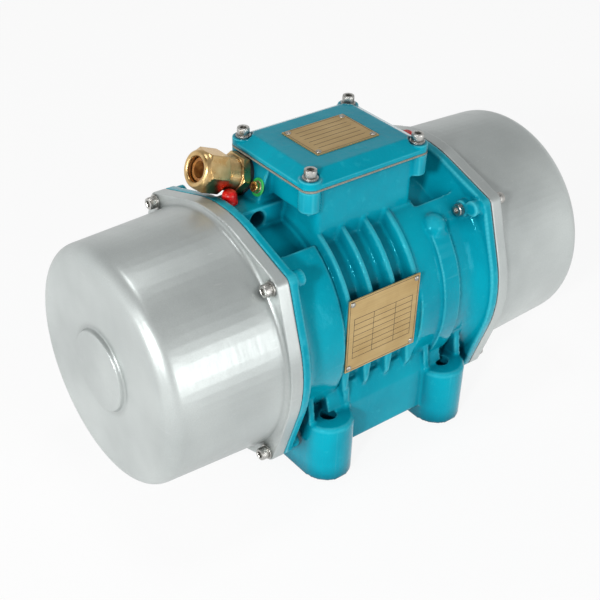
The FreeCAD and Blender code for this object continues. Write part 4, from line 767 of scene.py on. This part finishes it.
def varnished_copper():
    """Winding wire in strands, dipped in clear varnish."""
    made, tree, shader, place = new_finish("varnished_copper_wire")
    strands = add(tree, "ShaderNodeTexWave", {"Vector": place, "Scale": 140.0, "Distortion": 1.5,
                                              "Detail": 1.0}, wave_type="RINGS", rings_direction="X")
    tone = add(tree, "ShaderNodeMix", {0: strands.outputs["Fac"], 6: linear("#6B2E12"), 7: linear("#C26A35")},
               data_type="RGBA").outputs[2]
    tree.links.new(tone, shader.inputs["Base Color"])
    gloss = add(tree, "ShaderNodeMapRange", {"Value": strands.outputs["Fac"], "To Min": 0.35,
                                             "To Max": 0.25}).outputs[0]
    tree.links.new(gloss, shader.inputs["Roughness"])
    shader.inputs["Coat Weight"].default_value = 0.5
    bump = add(tree, "ShaderNodeBump", {"Height": strands.outputs["Fac"], "Strength": 0.5,
                                        "Distance": 0.0005})
    tree.links.new(bump.outputs[0], shader.inputs["Normal"])
    return made


def flame_cut_plate():
    """Thick rolled plate, scaly and blotched from the torch."""
    return fine_grain("flame_cut_steel_plate", 180.0, 5.0, ("#5B5855", "#8A8783"), (0.35, 0.6),
                      low=0.35, high=0.65, bump=(0.3, 0.0004), metallic=0.9)


def moulded_resin():
    """Brown thermoset, half matt and slightly speckled with its filler."""
    return fine_grain("brown_moulded_resin", 400.0, 3.0, ("#3A2418", "#553626"), (0.35, 0.5),
                      low=0.35, high=0.65)


paint(stacked_sheet(), "stator_core", "rotor_core")
paint(varnished_copper(), "stator_windings")
paint(flame_cut_plate(), "fixed_weight_left", "fixed_weight_right",
      "adjustable_weight_left", "adjustable_weight_right")
paint(moulded_resin(), "terminal_board")


# ---------------------------------------------------------------- studio
# A plain pale floor that fades into white, soft lamps from above and the left, and the camera.

def shows_background(tree):
    """1 for the rays that are to see a white background, 0 for those that light the object."""
    rays = add(tree, "ShaderNodeLightPath").outputs
    seen = add(tree, "ShaderNodeMath", {0: rays["Is Camera Ray"], 1: rays["Is Glossy Ray"]},
               operation="MAXIMUM")
    return add(tree, "ShaderNodeMath", {0: seen.outputs[0], 1: rays["Is Transmission Ray"]},
               operation="MAXIMUM").outputs[0]


def studio_floor():
    """Pale matt paper, nearly all white to the eye, which keeps a tenth of its shadow."""
    made, tree, shader, place = new_finish("studio_floor")
    shader.inputs["Base Color"].default_value = linear("#F6F6F6")
    shader.inputs["Roughness"].default_value = 0.9
    white = add(tree, "ShaderNodeEmission", {"Color": (1, 1, 1, 1), "Strength": 1.0})
    share = add(tree, "ShaderNodeMapRange", {"Value": shows_background(tree), "To Max": 0.90})
    lit = add(tree, "ShaderNodeMixShader", {0: share.outputs[0], 1: shader.outputs[0], 2: white.outputs[0]})
    tree.links.new(lit.outputs[0], tree.nodes["Material Output"].inputs["Surface"])
    return made


reach, below_feet = 9.0, -0.0003
paper = bpy.data.meshes.new("studio_floor")
paper.from_pydata([(x * reach, y * reach, below_feet) for x, y in ((-1, -1), (1, -1), (1, 1), (-1, 1))],
                  [], [(0, 1, 2, 3)])
paper.materials.append(studio_floor())
floor = bpy.data.objects.new("studio_floor", paper)
bpy.context.scene.collection.objects.link(floor)

# The air is brighter from the left than from the right, and dimmer overhead.
world = bpy.data.worlds.new("studio")
bpy.context.scene.world = world
world.use_nodes = True
air = world.node_tree
air.nodes.clear()
ways = add(air, "ShaderNodeTexCoord")
towards = add(air, "ShaderNodeSeparateXYZ", {0: ways.outputs["Generated"]})
side_light = add(air, "ShaderNodeMapRange", {"Value": towards.outputs["X"], "From Min": -1.0,
                                             "To Min": 0.66, "To Max": 0.40})
level = add(air, "ShaderNodeMapRange", {"Value": shows_background(air), "To Min": side_light.outputs[0]})
ceiling = add(air, "ShaderNodeMapRange", {"Value": towards.outputs["Z"], "From Min": 0.1, "From Max": 0.85,
                                          "To Min": 1.0, "To Max": 0.3})
both = add(air, "ShaderNodeMath", {0: level.outputs[0], 1: ceiling.outputs[0]}, operation="MULTIPLY")
sky = add(air, "ShaderNodeBackground", {"Color": (1, 1, 1, 1), "Strength": both.outputs[0]})
add(air, "ShaderNodeOutputWorld", {"Surface": sky.outputs[0]})


def lamp(name, where, power, size):
    """A square soft lamp that faces the motor's middle."""
    light = bpy.data.lights.new(name, "AREA")
    light.energy = power
    light.size = size
    holder = bpy.data.objects.new(name, light)
    holder.location = where
    holder.rotation_euler = (motor_middle - Vector(where)).to_track_quat("-Z", "Y").to_euler()
    bpy.context.scene.collection.objects.link(holder)


motor_middle = Vector((0.0, 0.0, 0.11))
lamp("key", (-1.7, -0.95, 1.0), 25.0, 0.24)
lamp("front", (0.5, -1.75, 0.4), 9.0, 0.8)
lamp("side", (-2.1, -0.1, 0.3), 7.0, 0.4)
lamp("top", (0.1, 0.3, 2.0), 6.0, 0.4)

# The camera looks down on the left cover and the front, turned a little about its own axis.
eye = bpy.data.cameras.new("view")
eye.sensor_width = 36.0
eye.lens = 71.34
eye.clip_start = 0.01
camera = bpy.data.objects.new("view", eye)
right = Vector((0.78897, -0.61357, 0.03234)).normalized()
up = Vector((0.32313, 0.45912, 0.82752))
up = (up - right * up.dot(right)).normalized()
back = right.cross(up)
turned = Matrix((right, up, back)).transposed().to_4x4()
camera.matrix_world = Matrix.Translation((-0.53378, -0.62717, 0.64480)) @ turned
bpy.context.scene.collection.objects.link(camera)
bpy.context.scene.camera = camera
bpy.context.scene.view_settings.view_transform = "Standard"
